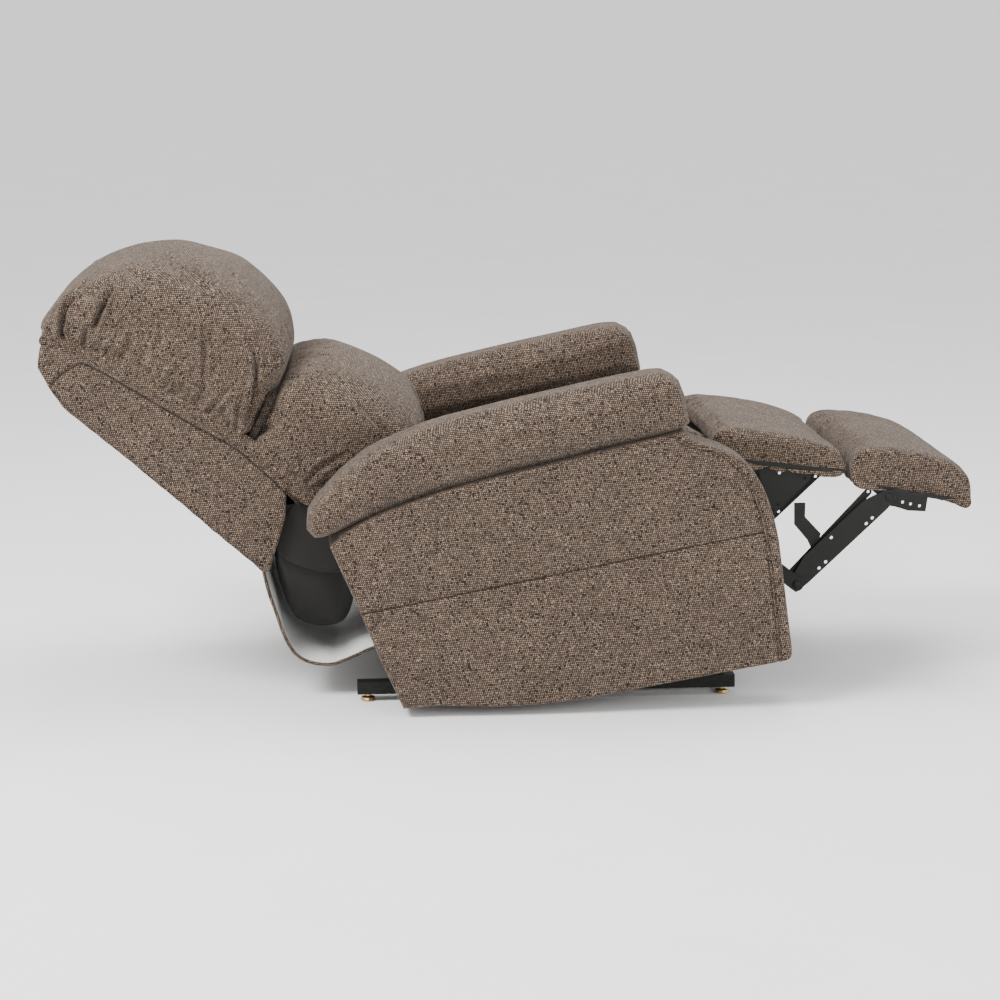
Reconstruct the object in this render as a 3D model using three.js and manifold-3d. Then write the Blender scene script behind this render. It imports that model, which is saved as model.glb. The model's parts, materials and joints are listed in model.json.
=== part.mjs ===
// Lift recliner chair, resting with its seat tilted back, its backrest reclined and its legrest out.
// Millimetres. +X is the way the sitter faces, +Y is the sitter's left, +Z is up.
// The origin is the middle of the footprint, on the floor.
import * as THREE from 'three';
import { mergeVertices } from 'three/addons/utils/BufferGeometryUtils.js';
import Module from 'manifold-3d';

const wasm = await Module();
wasm.setup();

// ---- Driving dimensions -------------------------------------------------------------------------
const DEG = Math.PI / 180;
const GAP = 0.4;                                // clearance left between touching pieces

const SEAT_TILT = 10 * DEG;                     // seat body leans back at rest
const TILT_PIVOT = [63, 150];                   // X and Z of the tilt axle
const BACK_LEAN = 49.7 * DEG;                   // backrest lean from the vertical at rest
const BACK_PIVOT = [-270, 380];

const ARM_INNER = 277;                          // half the width between the arms
const ARM_OUTER = 423;
const PANEL_INNER = 290;
const PANEL_OUTER = 411;
const SEAT_HALF = 261;
const BACK_HALF = 271;
const BACK_WALL = 22;

const RAIL_Y = 270;                             // base rails, centre to centre is twice this
const RAIL_SIZE = 25;
const RAIL_BOTTOM = 14;
const RAIL_REAR = -305;
const RAIL_FRONT = 434;
const FOOT_X = [-284, 410];
const FOOT_RADIUS = 15;

const LIFT_PIVOT = [330, 50];                   // base to lift arm
const LIFT_TIP = [-120, 72];                    // lift arm to lift frame
const GUIDE_PIVOT = [396, 74];                  // base to guide link
const GUIDE_TIP = [100, 96];
const LIFT_ARM_Y = 234;
const LIFT_LEVER = [310, 150];
const LIFT_MOTOR = [-70, 68];

const LEG_PIVOT = [398, 337];                   // chassis to lower link
const LEG_KNEE = [558, 212];                    // lower link to wide link
const LEG_TIP = [738, 383];                     // wide link to foot bracket
const MID_HINGE = [392, 455];                   // middle pad's hinge
const MID_HALF = 235;
const FOOT_HALF = 247;

const RECLINE_MOTOR = [150, 230];
const RECLINE_LUG = [-330, 262];

// ---- Materials ----------------------------------------------------------------------------------
function material(color, roughness, metalness) {
  return () => new THREE.MeshStandardMaterial({ color, roughness, metalness });
}
const tweed = material(0x6e5c4e, 0.95, 0);
const lining = material(0xcfcac2, 0.9, 0);
const blackCloth = material(0x1a1a1b, 0.95, 0);
const blackSteel = material(0x17171a, 0.45, 0.6);
const zinc = material(0xa9abad, 0.35, 0.9);
const brass = material(0xb08d4c, 0.35, 0.9);
const wood = material(0xb48a5a, 0.7, 0);
const plastic = material(0x1f2022, 0.5, 0);

// ---- Groups -------------------------------------------------------------------------------------
const chair = new THREE.Group();

// Holds pieces that are drawn as the seat body stands when it is level.
const seatTurn = new THREE.Group();
seatTurn.position.set(TILT_PIVOT[0], 0, TILT_PIVOT[1]);
seatTurn.rotation.y = -SEAT_TILT;
const seatBody = new THREE.Group();
seatBody.position.set(-TILT_PIVOT[0], 0, -TILT_PIVOT[1]);
seatTurn.add(seatBody);
chair.add(seatTurn);

// Holds pieces of the backrest: X is the way its cushions face, Z runs up its length from the pivot.
const backrest = new THREE.Group();
backrest.position.set(BACK_PIVOT[0], 0, BACK_PIVOT[1]);
backrest.rotation.y = -BACK_LEAN;
chair.add(backrest);

function add(name, geometry, look, group = chair) {
  const mesh = new THREE.Mesh(geometry, look());
  mesh.name = name;
  group.add(mesh);
}

// ---- Shape helpers ------------------------------------------------------------------------------
const SIDES = [['right', -1], ['left', 1]];
const at = ([x, z]) => new THREE.Vector2(x, z);

function polygon(points) {
  return new THREE.Shape(points.map(at));
}

function circle([x, z], radius, sides) {
  const corner = (turn) => at([x + radius * Math.cos(turn), z + radius * Math.sin(turn)]);
  return Array.from({ length: sides }, (_, index) => corner((index * 2 * Math.PI) / sides));
}

function roundHole(centre, radius, sides = 10) {
  return new THREE.Path(circle(centre, radius, sides));
}

// A shape drawn in X and Z, thickened along Y from y to y + thickness.
function slab(shape, y, thickness) {
  const options = { depth: thickness, curveSegments: 5, bevelEnabled: false };
  const geometry = new THREE.ExtrudeGeometry(shape, options);
  return geometry.rotateX(Math.PI / 2).translate(0, y + thickness, 0);
}

// The same slab on the side given by sign, between two distances from the middle plane.
function sideSlab(shape, sign, near, far) {
  return slab(shape, sign > 0 ? near : -far, far - near);
}

// A padded solid: a shape drawn in X and Z, from y0 to y1, with its edges rounded by the given radius.
function padded(shape, y0, y1, radius, points = 36, steps = 2) {
  const outline = shape.getSpacedPoints(points).slice(0, points);
  if (THREE.ShapeUtils.isClockWise(outline)) outline.reverse();
  const inward = outline.map((_, index) => {
    const ahead = outline[(index + 1) % points].clone().sub(outline[(index + points - 1) % points]);
    return new THREE.Vector2(-ahead.y, ahead.x).normalize();
  });
  const turns = Array.from({ length: steps + 1 }, (_, step) => (step / steps) * (Math.PI / 2));
  const rings = [
    ...turns.map((turn) => [y0 + radius * (1 - Math.sin(turn)), radius * (1 - Math.cos(turn))]).reverse(),
    ...turns.map((turn) => [y1 - radius * (1 - Math.sin(turn)), radius * (1 - Math.cos(turn))]),
  ].sort((one, other) => one[0] - other[0]);
  const corners = rings.flatMap(([y, inset]) => outline.map((point, index) => {
    const moved = point.clone().addScaledVector(inward[index], inset);
    return [moved.x, y, moved.y];
  }));
  const faces = [];
  for (let ring = 0; ring + 1 < rings.length; ring += 1) {
    for (let index = 0; index < points; index += 1) {
      const [a, b] = [ring * points + index, ring * points + ((index + 1) % points)];
      faces.push(a, b + points, b, a, a + points, b + points);
    }
  }
  const cap = THREE.ShapeUtils.triangulateShape(outline, []);
  const last = (rings.length - 1) * points;
  for (const [a, b, c] of cap) faces.push(a, b, c, a + last, c + last, b + last);
  const geometry = new THREE.BufferGeometry();
  geometry.setAttribute('position', new THREE.Float32BufferAttribute(corners.flat(), 3));
  geometry.setIndex(faces);
  return geometry;
}

function paddedSide(shape, sign, near, far, radius, points, steps) {
  return padded(shape, sign > 0 ? near : -far, sign > 0 ? far : -near, radius, points, steps);
}

// A flat bar with round ends between two pivots.
function barShape([ax, az], [bx, bz], halfWidth, holes = [], holeRadius = 5.5) {
  const angle = Math.atan2(bz - az, bx - ax);
  const shape = new THREE.Shape();
  shape.absarc(ax, az, halfWidth, angle + Math.PI / 2, angle + 1.5 * Math.PI, false);
  shape.absarc(bx, bz, halfWidth, angle - Math.PI / 2, angle + Math.PI / 2, false);
  shape.closePath();
  shape.holes = holes.map((centre) => roundHole(centre, holeRadius));
  return shape;
}

// The point part of the way from one point to another.
function between([ax, az], [bx, bz], share, shift = 0) {
  const length = Math.hypot(bx - ax, bz - az);
  const [nx, nz] = [-(bz - az) / length, (bx - ax) / length];
  return [ax + (bx - ax) * share + nx * shift, az + (bz - az) * share + nz * shift];
}

function pinAlongY([x, z], radius, y0, y1, segments = 10) {
  const pin = new THREE.CylinderGeometry(radius, radius, Math.abs(y1 - y0), segments);
  return pin.translate(x, (y0 + y1) / 2, z);
}

function box(x0, x1, y0, y1, z0, z1) {
  const geometry = new THREE.BoxGeometry(x1 - x0, y1 - y0, z1 - z0);
  return geometry.translate((x0 + x1) / 2, (y0 + y1) / 2, (z0 + z1) / 2);
}

// A square tube, open at both ends, along the given axis from the first end to the second.
function squareTube(axis, start, end, across, up, size = RAIL_SIZE, wall = 2) {
  const ring = (half) => polygon([[-half, -half], [half, -half], [half, half], [-half, half]]);
  const section = ring(size / 2);
  section.holes = [ring(size / 2 - wall)];
  const tube = new THREE.ExtrudeGeometry(section, { depth: end - start, bevelEnabled: false });
  if (axis === 'x') return tube.rotateY(Math.PI / 2).translate(start, across, up);
  return tube.rotateX(-Math.PI / 2).translate(across, start, up);
}

// A rod or bar laid from one X-Z point towards another, at y, of the given length.
function aim(geometry, [ax, az], [bx, bz], y = 0) {
  const turn = -Math.atan2(bz - az, bx - ax);
  return geometry.rotateY(turn).translate(ax, y, az);
}

function solid(geometry) {
  const bare = geometry.clone();
  bare.deleteAttribute('normal');
  bare.deleteAttribute('uv');
  const merged = mergeVertices(bare, 1e-3);
  return new wasm.Manifold(new wasm.Mesh({
    numProp: 3,
    vertProperties: merged.attributes.position.array,
    triVerts: merged.index.array,
  }));
}

// One closed body made of overlapping geometries.
function join(first, ...others) {
  return fromSolid(others.reduce((whole, geometry) => whole.add(solid(geometry)), solid(first)));
}

function fromSolid(manifold) {
  const mesh = manifold.getMesh();
  const geometry = new THREE.BufferGeometry();
  geometry.setAttribute('position', new THREE.BufferAttribute(mesh.vertProperties, 3));
  geometry.setIndex(new THREE.BufferAttribute(mesh.triVerts, 1));
  geometry.computeVertexNormals();
  return geometry;
}

// ---- Base ---------------------------------------------------------------------------------------
function buildBase() {
  const middle = RAIL_BOTTOM + RAIL_SIZE / 2;
  const inner = RAIL_Y - RAIL_SIZE / 2 - GAP;
  for (const [side, sign] of SIDES) {
    add(`base_rail_${side}`, squareTube('x', RAIL_REAR, RAIL_FRONT, sign * RAIL_Y, middle), blackSteel);
    add(`base_bracket_${side}`, baseBracket(sign), blackSteel);
    for (const [end, x] of [['rear', FOOT_X[0]], ['front', FOOT_X[1]]]) {
      add(`foot_${end}_${side}`, footGlide().translate(x, sign * RAIL_Y, 0), brass);
    }
  }
  add('base_cross_front', squareTube('y', -250.6, 250.6, 412, middle), blackSteel);
  const rearTube = squareTube('y', -inner, inner, LIFT_MOTOR[0], middle);
  add('base_cross_rear', join(rearTube, ...lugs(LIFT_MOTOR, 16, RAIL_BOTTOM + RAIL_SIZE - 1)), blackSteel);
}

function footGlide() {
  const top = RAIL_BOTTOM - GAP;
  const profile = [[0, 0], [12, 0], [FOOT_RADIUS, 3], [13, 7], [5, 9], [5, top], [0, top]];
  return new THREE.LatheGeometry(profile.map(at), 12).rotateX(Math.PI / 2);
}

// The upright plate just inside a rail that carries a lift arm and a guide link.
function baseBracket(sign) {
  const outline = polygon([
    [304, 16], [424, 16], [412, 76], [404, 86], [388, 86], [376, 48], [354, 42],
    [343, 58], [336, 63], [322, 63], [314, 54],
  ]);
  outline.holes = [roundHole(LIFT_PIVOT, 6.5), roundHole(GUIDE_PIVOT, 5.5)];
  return sideSlab(outline, sign, 251, 255);
}

// Two lugs either side of the middle plane, rising from floor to a pivot hole.
function lugs([x, z], halfGap, floor) {
  const lug = polygon([
    [x - 12, floor], [x + 12, floor], [x + 12, z + 4], [x + 6, z + 12], [x - 6, z + 12], [x - 12, z + 4],
  ]);
  lug.holes = [roundHole([x, z], 6.5)];
  return [slab(lug, halfGap, 4), slab(lug, -halfGap - 4, 4)];
}

// ---- Lift linkage -------------------------------------------------------------------------------
function buildLiftArms() {
  const [near, far] = [LIFT_ARM_Y - 12, LIFT_ARM_Y + 12];
  for (const [side, sign] of SIDES) {
    const arm = sideSlab(barShape(LIFT_PIVOT, LIFT_TIP, 13), sign, near, far);
    const basePin = pinAlongY(LIFT_PIVOT, 6, sign * (near + 4), sign * 256);
    const tipPin = pinAlongY(LIFT_TIP, 6, sign * 212, sign * (far - 4));
    add(`lift_arm_${side}`, join(arm, basePin, tipPin), blackSteel);
  }
  const lever = barShape(LIFT_PIVOT, LIFT_LEVER, 19);
  lever.holes = [roundHole(LIFT_PIVOT, 10), roundHole(LIFT_LEVER, 6)];
  const tube = torqueTube(LIFT_PIVOT, 13, 9, near - GAP);
  add('lift_torque_tube', join(tube, slab(lever, 15, 6), slab(lever, -21, 6)), blackSteel);
}

// A round tube along Y, open at both ends.
function torqueTube(centre, outer, inner, reach) {
  const ring = new THREE.Shape(circle(centre, outer, 16));
  ring.holes = [roundHole(centre, inner, 16)];
  return slab(ring, -reach, 2 * reach);
}

function buildGuideLinks() {
  for (const [side, sign] of SIDES) {
    const bar = barShape(GUIDE_PIVOT, GUIDE_TIP, 11, [GUIDE_TIP]);
    const pin = pinAlongY(GUIDE_PIVOT, 5, sign * 202, sign * 257);
    add(`lift_guide_link_${side}`, join(sideSlab(bar, sign, 200, 206), pin), blackSteel);
  }
}

function buildLiftFrame() {
  const plate = polygon([
    [-136, 60], [-104, 60], [-96, 92], [110, 84], [118, 100], [84, 150],
    [78, 168], [48, 168], [38, 150], [20, 122], [-150, 118],
  ]);
  plate.holes = [roundHole(LIFT_TIP, 6.5), roundHole(GUIDE_TIP, 6), roundHole(TILT_PIVOT, 14.8, 16)];
  for (const [side, sign] of SIDES) {
    const rail = squareTube('x', -150, 100, sign * 231, 105);
    add(`lift_frame_${side}`, join(rail, sideSlab(plate, sign, 215, 219)), blackSteel);
  }
  add('lift_frame_cross', squareTube('y', 0.5 - 215, 215 - 0.5, -134, 106, 20), blackSteel);
  add('tilt_axle', torqueTube(TILT_PIVOT, 14, 10, 270), blackSteel);
}

// ---- Lift actuator ------------------------------------------------------------------------------
const actuatorLength = (start, end) => Math.hypot(end[0] - start[0], end[1] - start[1]);

// The motor end: a rear eye, a gearbox and a motor can, drawn along +X from the eye.
function motorGeometry(side) {
  const eye = roundBlock(11, 13);
  const gearbox = box(25, 66, -22, 22, -20, 20);
  const can = new THREE.CylinderGeometry(20, 20, 74, 16).rotateX(Math.PI / 2).rotateY(Math.PI / 2);
  return fromSolid(solid(eye).add(solid(gearbox)).add(solid(can.translate(60, side * 41, 0))));
}

function roundBlock(radius, halfWidth) {
  const shape = new THREE.Shape();
  shape.absarc(0, 0, radius, Math.PI / 2, 1.5 * Math.PI, false);
  shape.lineTo(28, -radius);
  shape.lineTo(28, radius);
  shape.closePath();
  shape.holes = [roundHole([0, 0], 6.5)];
  return slab(shape, -halfWidth, 2 * halfWidth);
}

function actuatorTube(length) {
  const ring = new THREE.Shape(circle([0, 0], 15, 16));
  ring.holes = [roundHole([0, 0], 10.5, 16)];
  const tube = new THREE.ExtrudeGeometry(ring, { depth: length, bevelEnabled: false });
  return tube.rotateY(Math.PI / 2).translate(66 + GAP, 0, 0);
}

// A motor, a fixed tube and the rod that slides in it, laid from the motor's eye to the rod's eye.
function buildActuator(name, start, end, tubeLength, motorSide) {
  const length = actuatorLength(start, end);
  const [rodStart, rodEnd] = [78, length - 6];
  const rodShape = new THREE.CylinderGeometry(9.5, 9.5, rodEnd - rodStart, 12).rotateZ(Math.PI / 2);
  const eye = pinAlongY([length, 0], 12, -10, 10, 16);
  const bore = pinAlongY([length, 0], 5, -20, 20);
  const shaft = solid(rodShape.translate((rodStart + rodEnd) / 2, 0, 0));
  const rod = shaft.add(solid(eye)).subtract(solid(bore));
  add(`${name}_motor`, aim(motorGeometry(motorSide), start, end), plastic);
  add(`${name}_tube`, aim(actuatorTube(tubeLength), start, end), blackSteel);
  add(`${name}_rod`, aim(fromSolid(rod), start, end), zinc);
}

// ---- Chassis ------------------------------------------------------------------------------------
function levelPoint([x, z]) {
  const [dx, dz] = [x - TILT_PIVOT[0], z - TILT_PIVOT[1]];
  return [
    TILT_PIVOT[0] + dx * Math.cos(SEAT_TILT) + dz * Math.sin(SEAT_TILT),
    TILT_PIVOT[1] - dx * Math.sin(SEAT_TILT) + dz * Math.cos(SEAT_TILT),
  ];
}

function buildChassis() {
  const [back, leg, middle] = [BACK_PIVOT, LEG_PIVOT, MID_HINGE].map(levelPoint);
  const plate = polygon([
    [back[0] - 24, back[1] - 20], [back[0] - 18, back[1] + 20], [back[0] + 18, back[1] + 20], [-172, 346],
    [330, 346], [leg[0] + 10, leg[1] + 24], [leg[0] + 24, leg[1]], [leg[0] + 4, leg[1] - 24], [300, 292],
    [150, 288], [92, 130], [34, 130], [-4, 288], [-120, 292],
  ]);
  plate.holes = [roundHole(back, 5.5), roundHole(leg, 5.5), roundHole(TILT_PIVOT, 14.8, 16)];
  for (const [side, sign] of SIDES) {
    add(`mechanism_plate_${side}`, sideSlab(plate, sign, 264, 268), blackSteel, seatBody);
  }
  const half = 263;
  add('seat_rail_front', box(340, 367, -half, half, 306, 350), wood, seatBody);
  add('seat_rail_rear', box(-160, -132, -half, half, 334, 350), wood, seatBody);
  const motorPoint = levelPoint(RECLINE_MOTOR);
  const lug = polygon([[151, 265], [175, 265], [173, 206], [163, 200], [153, 206]]);
  lug.holes = [roundHole(motorPoint, 6.5)];
  const crossTube = squareTube('y', -half, half, motorPoint[0], 276);
  add('seat_cross_tube', join(crossTube, slab(lug, 15, 4), slab(lug, -19, 4)), blackSteel, seatBody);
  add('seat_springs', seatSprings(-128, 336, 344), zinc, seatBody);
  add('legrest_hinge_bar', legrestHingeBar(middle), blackSteel, seatBody);
  add('control_box', controlBox(), plastic, seatBody);
}

// A flat bar screwed under the front rail, with two plates that carry the middle pad's hinges.
function legrestHingeBar(hinge) {
  const plate = barShape([384, 296], hinge, 12, [hinge]);
  const flat = box(342, 388, -194, 194, 299, 305.6);
  return join(flat, ...SIDES.map(([, sign]) => sideSlab(plate, sign, 190, 194)));
}

// Sinuous springs running from the rear rail to the front rail, tied across by two straight wires.
function seatSprings(rear, front, z) {
  const [waves, amplitude, radius, steps] = [6, 26, 2, 24];
  const sagAt = (share) => z - 5 * Math.sin(Math.PI * share);
  const springs = [-180, -60, 60, 180].map((y) => {
    const points = [];
    for (let step = 0; step <= steps; step += 1) {
      const share = step / steps;
      const swing = amplitude * Math.sin(share * waves * Math.PI);
      points.push(new THREE.Vector3(rear + (front - rear) * share, y + swing, sagAt(share)));
    }
    const wire = new THREE.Shape(circle([0, 0], radius, 5));
    const path = new THREE.CatmullRomCurve3(points);
    return new THREE.ExtrudeGeometry(wire, { steps, extrudePath: path, bevelEnabled: false });
  });
  const ties = [1 / 3, 2 / 3].map((share) => {
    const spot = [rear + (front - rear) * share, sagAt(share)];
    return pinAlongY(spot, 1.6, -224, 224, 6);
  });
  return join(...springs, ...ties);
}

// Stands behind the cross tube, with sockets for the motors and the handset in its front face and
// the power inlet in its side.
function controlBox() {
  const body = polygon([[30, 226], [136, 226], [139, 230], [139, 268], [136, 272], [30, 272]]);
  const ports = [88, 112, 136].map((y) => solid(box(126, 150, y, y + 12, 244, 256)));
  const inlet = solid(box(64, 96, 205, 240, 238, 260));
  const prongs = [74, 84].map((x) => solid(box(x, x + 3, 203, 220, 247, 251)));
  const hollow = [...ports, inlet].reduce((whole, port) => whole.subtract(port), solid(slab(body, 70, 155)));
  return fromSolid(prongs.reduce((whole, prong) => whole.add(prong), hollow));
}

// ---- Seat body upholstery -----------------------------------------------------------------------
// The line where the arm roll sits on the side panel, rear to front.
const ARM_SEAM = [
  [-330, 411], [-284, 428], [-213, 449], [-95, 468], [20, 478], [136, 484], [252, 491], [374, 497],
];

function sidePanelShape() {
  const shape = new THREE.Shape();
  shape.moveTo(-239, 69);
  shape.lineTo(-262, 158);
  shape.lineTo(-291, 292);
  shape.lineTo(-318, 404);
  shape.lineTo(-284, 425);
  shape.splineThru(ARM_SEAM.slice(2).map(([x, z]) => at([x, z - 2])));
  shape.bezierCurveTo(384, 466, 424, 462, 463, 431);
  shape.bezierCurveTo(500, 400, 516, 340, 518, 253);
  shape.lineTo(510, 36);
  shape.quadraticCurveTo(508, 20, 494, 20);
  shape.lineTo(134, 21);
  shape.bezierCurveTo(20, 22, -60, 34, -170, 62);
  shape.closePath();
  return shape;
}

function armRollShape() {
  const shape = new THREE.Shape();
  shape.moveTo(387, 505);
  shape.lineTo(387, 570);
  shape.bezierCurveTo(387, 604, 372, 621, 335, 622);
  const top = [[235, 619], [120, 615], [5, 609], [-75, 602], [-149, 589], [-210, 572], [-273, 538]];
  shape.splineThru(top.map(at));
  shape.bezierCurveTo(-310, 512, -338, 490, -350, 466);
  shape.bezierCurveTo(-358, 440, -348, 420, ...ARM_SEAM[0]);
  shape.splineThru(ARM_SEAM.slice(1).map(at));
  shape.closePath();
  return shape;
}

function buildUpholstery() {
  const [panel, roll] = [sidePanelShape(), armRollShape()];
  for (const [side, sign] of SIDES) {
    const panelSolid = paddedSide(panel, sign, PANEL_INNER, PANEL_OUTER, 7, 72, 1);
    add(`side_panel_${side}`, panelSolid, tweed, seatBody);
    const rollSolid = paddedSide(roll, sign, ARM_INNER, ARM_OUTER, 34, 52);
    add(`arm_roll_${side}`, rollSolid, tweed, seatBody);
  }
  const seat = new THREE.Shape();
  seat.moveTo(-166, 352);
  seat.lineTo(384, 351);
  seat.lineTo(416, 411);
  seat.lineTo(434, 416);
  seat.lineTo(436, 440);
  seat.quadraticCurveTo(434, 470, 400, 470);
  seat.bezierCurveTo(240, 474, 60, 462, -120, 440);
  seat.quadraticCurveTo(-160, 436, -166, 410);
  seat.closePath();
  add('seat_cushion', padded(seat, -SEAT_HALF, SEAT_HALF, 10), tweed, seatBody);
}

// ---- Backrest -----------------------------------------------------------------------------------
function backShell() {
  const outline = polygon([
    [-217, 110], [-222, 85], [-211, 72], [-164, 99], [-123, 117], [-71, 156], [-70, 280],
    [-115, 552], [-128, 612], [-157, 684], [-190, 660], [-203, 626], [-217, 577],
  ]);
  const pocket = polygon([[-199, 0], [0, 0], [0, 620], [-176, 620], [-199, 570]]);
  const shell = solid(slab(outline, -BACK_HALF, 2 * BACK_HALF));
  const inner = BACK_HALF - BACK_WALL;
  return fromSolid(shell.subtract(solid(slab(pocket, -inner, 2 * inner))));
}

function headPillowShape() {
  const shape = new THREE.Shape();
  shape.moveTo(-150, 700);
  shape.quadraticCurveTo(-112, 716, -51, 708);
  shape.bezierCurveTo(20, 700, 70, 670, 125, 619);
  shape.bezierCurveTo(175, 570, 196, 480, 178, 385);
  shape.quadraticCurveTo(166, 320, 128, 304);
  shape.bezierCurveTo(80, 284, 10, 270, -62, 266);
  shape.lineTo(-66, 290);
  shape.lineTo(-110, 552);
  shape.lineTo(-124, 612);
  shape.closePath();
  return shape;
}

function lumbarPillowShape() {
  const shape = new THREE.Shape();
  shape.moveTo(-66, 258);
  shape.bezierCurveTo(10, 262, 80, 276, 127, 292);
  shape.quadraticCurveTo(170, 276, 186, 236);
  shape.bezierCurveTo(210, 170, 224, 90, 212, 24);
  shape.quadraticCurveTo(200, -20, 150, -18);
  shape.quadraticCurveTo(90, -14, 40, 4);
  shape.lineTo(-66, 118);
  shape.closePath();
  return shape;
}

function buildBackrest() {
  add('back_shell', backShell(), tweed, backrest);
  add('head_pillow', padded(headPillowShape(), -BACK_HALF, BACK_HALF, 40), tweed, backrest);
  const lumbarHalf = BACK_HALF - 8;
  add('lumbar_pillow', padded(lumbarPillowShape(), -lumbarHalf, lumbarHalf, 30), tweed, backrest);
  for (const [side, sign] of SIDES) {
    const post = box(-190, -162, sign * 226 - 14, sign * 226 + 14, 150, 585);
    add(`back_post_${side}`, post, wood, backrest);
    const bracket = sideSlab(barShape([0, 0], [-150, 150], 18, [[-120, 120]]), sign, 243, 247);
    const pin = pinAlongY([0, 0], 5, sign * 244, sign * 270);
    add(`back_bracket_${side}`, join(bracket, pin), blackSteel, backrest);
  }
  for (const [place, z] of [['bottom', 165], ['top', 556]]) {
    add(`back_rail_${place}`, box(-188, -166, -211, 211, z, z + 24), wood, backrest);
  }
  add('back_webbing', backWebbing(), blackCloth, backrest);
  add('back_lug', backLug(), blackSteel, backrest);
}

// Straps nailed up and across the front of the frame.
function backWebbing() {
  const upright = [-140, 0, 140].map((y) => box(-161, -158, y - 22, y + 22, 200, 584));
  const level = [270, 390, 510].map((z) => box(-159, -156, -224, 224, z - 22, z + 22));
  return join(...upright, ...level);
}

// The pair of lugs that the recline rod pushes on, on the bottom rail.
function backLug() {
  const [dx, dz] = [RECLINE_LUG[0] - BACK_PIVOT[0], RECLINE_LUG[1] - BACK_PIVOT[1]];
  const lug = [
    dx * Math.cos(BACK_LEAN) + dz * Math.sin(BACK_LEAN),
    -dx * Math.sin(BACK_LEAN) + dz * Math.cos(BACK_LEAN),
  ];
  const plate = barShape(lug, [-150, 150], 12, [lug], 6);
  const foot = box(-165.6, -160, -30, 30, 163, 189);
  const neck = box(-163, -140, -19, 19, 150, 166);
  return join(foot, neck, slab(plate, 15, 4), slab(plate, -19, 4));
}

// The loose cloth flap under the backrest, as a thin curved sheet.
function backFlap() {
  const outer = [
    [-486, 262], [-472, 218], [-462, 168], [-444, 118], [-425, 94], [-396, 77], [-357, 66], [-324, 68],
    [-288, 88],
  ];
  const curve = new THREE.CatmullRomCurve3(outer.map(([x, z]) => new THREE.Vector3(x, z, 0)));
  const [steps, thickness, half] = [16, 3, 248];
  const points = curve.getPoints(steps);
  const edge = points.map((point, index) => {
    const tangent = curve.getTangent(index / steps);
    return [point.x - tangent.y * thickness, point.y + tangent.x * thickness];
  });
  return slab(polygon([...points.map(({ x, y }) => [x, y]), ...edge.reverse()]), -half, 2 * half);
}

// ---- Legrest ------------------------------------------------------------------------------------
// Near and far face of each kind of plate, as distances from the middle plane.
const PLATE_Y = {
  lower: [253.5, 256.5],
  wide: [248.5, 252],
  foot: [244, 247],
  thin: [239.5, 242.5],
  mid: [228, 231],
  hinge: [195, 199],
};
const plateOn = (sign, shape, kind) => sideSlab(shape, sign, ...PLATE_Y[kind]);
const plateOnBothSides = (shape, kind) => SIDES.map(([, sign]) => plateOn(sign, shape, kind));

function buildLegrest() {
  const lowerSpots = [0.3, 0.5, 0.7].map((share) => between(LEG_PIVOT, LEG_KNEE, share));
  const lower = barShape(LEG_PIVOT, LEG_KNEE, 14, lowerSpots, 3.5);
  const onWide = ([share, shift]) => between(LEG_KNEE, LEG_TIP, share, shift);
  const wideEdge = [
    [-0.05, -12], [0.07, -15], [0.92, -15], [1.04, -11], [1.06, 4], [1.01, 16], [0.83, 30], [0.19, 30],
    [-0.02, 14], [-0.06, 2],
  ];
  const wide = polygon(wideEdge.map(onWide));
  wide.holes.push(roundHole(LEG_KNEE, 5.5));
  const wideSpots = [[0.215, -8.5], [0.286, -8.5], [0.725, -8], [0.79, -8], [0.45, 20]];
  for (const spot of wideSpots) {
    wide.holes.push(roundHole(onWide(spot), 3.5));
  }
  const thinEnds = [[540, 222], [698, 392]];
  const thin = barShape(...thinEnds, 7, thinEnds, 3);
  const strap = polygon([
    [552, 372], [574, 372], [574, 344], [606, 310], [600, 288], [588, 280], [580, 297], [553, 329],
  ]);
  for (const [side, sign] of SIDES) {
    const chassisPin = pinAlongY(LEG_PIVOT, 5, sign * 255, sign * 270);
    const kneePin = pinAlongY(LEG_KNEE, 5, sign * 246, sign * 255);
    const tipPin = pinAlongY(LEG_TIP, 5, sign * 242.8, sign * 250);
    const thinPair = join(plateOn(sign, thin, 'thin'), plateOn(sign, strap, 'thin'));
    add(`lower_link_${side}`, join(plateOn(sign, lower, 'lower'), chassisPin, kneePin), blackSteel);
    add(`wide_link_${side}`, join(plateOn(sign, wide, 'wide'), tipPin), blackSteel);
    add(`thin_link_${side}`, thinPair, blackSteel);
  }
  add('foot_frame', footFrame(), blackSteel);
  add('mid_frame', midFrame(), blackSteel);
  buildPads();
}

// The board under the foot pad, with a bracket at each end.
function footFrame() {
  const board = polygon([[686, 411], [685, 403], [884, 367], [886, 375]]);
  const bracket = polygon([
    [693, 405], [816, 382], [812, 352], [777, 354], [752, 362], [741, 364], [722, 372], [716, 386],
  ]);
  const spots = [[766, 371], [782, 367], [800, 363]];
  bracket.holes = [roundHole(LEG_TIP, 5.5), ...spots.map((spot) => roundHole(spot, 3.2))];
  return join(slab(board, -FOOT_HALF, 2 * FOOT_HALF), ...plateOnBothSides(bracket, 'foot'));
}

// The board under the middle pad, with a bracket at each end and two hinge arms.
function midFrame() {
  const board = polygon([[419, 462], [419, 454], [652, 427], [652, 435]]);
  const bracket = polygon([[480, 448], [592, 434], [583, 414], [514, 346], [500, 352]]);
  const spots = [[524, 430], [574, 419], [522, 367], [512, 356]];
  bracket.holes = spots.map((spot) => roundHole(spot, 3.2));
  const arms = plateOnBothSides(barShape(MID_HINGE, [424, 451], 9), 'hinge');
  const pins = SIDES.map(([, sign]) => pinAlongY(MID_HINGE, 5, sign * 187, sign * 198));
  const brackets = plateOnBothSides(bracket, 'mid');
  return join(slab(board, -MID_HALF, 2 * MID_HALF), ...brackets, ...arms, ...pins);
}

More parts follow.
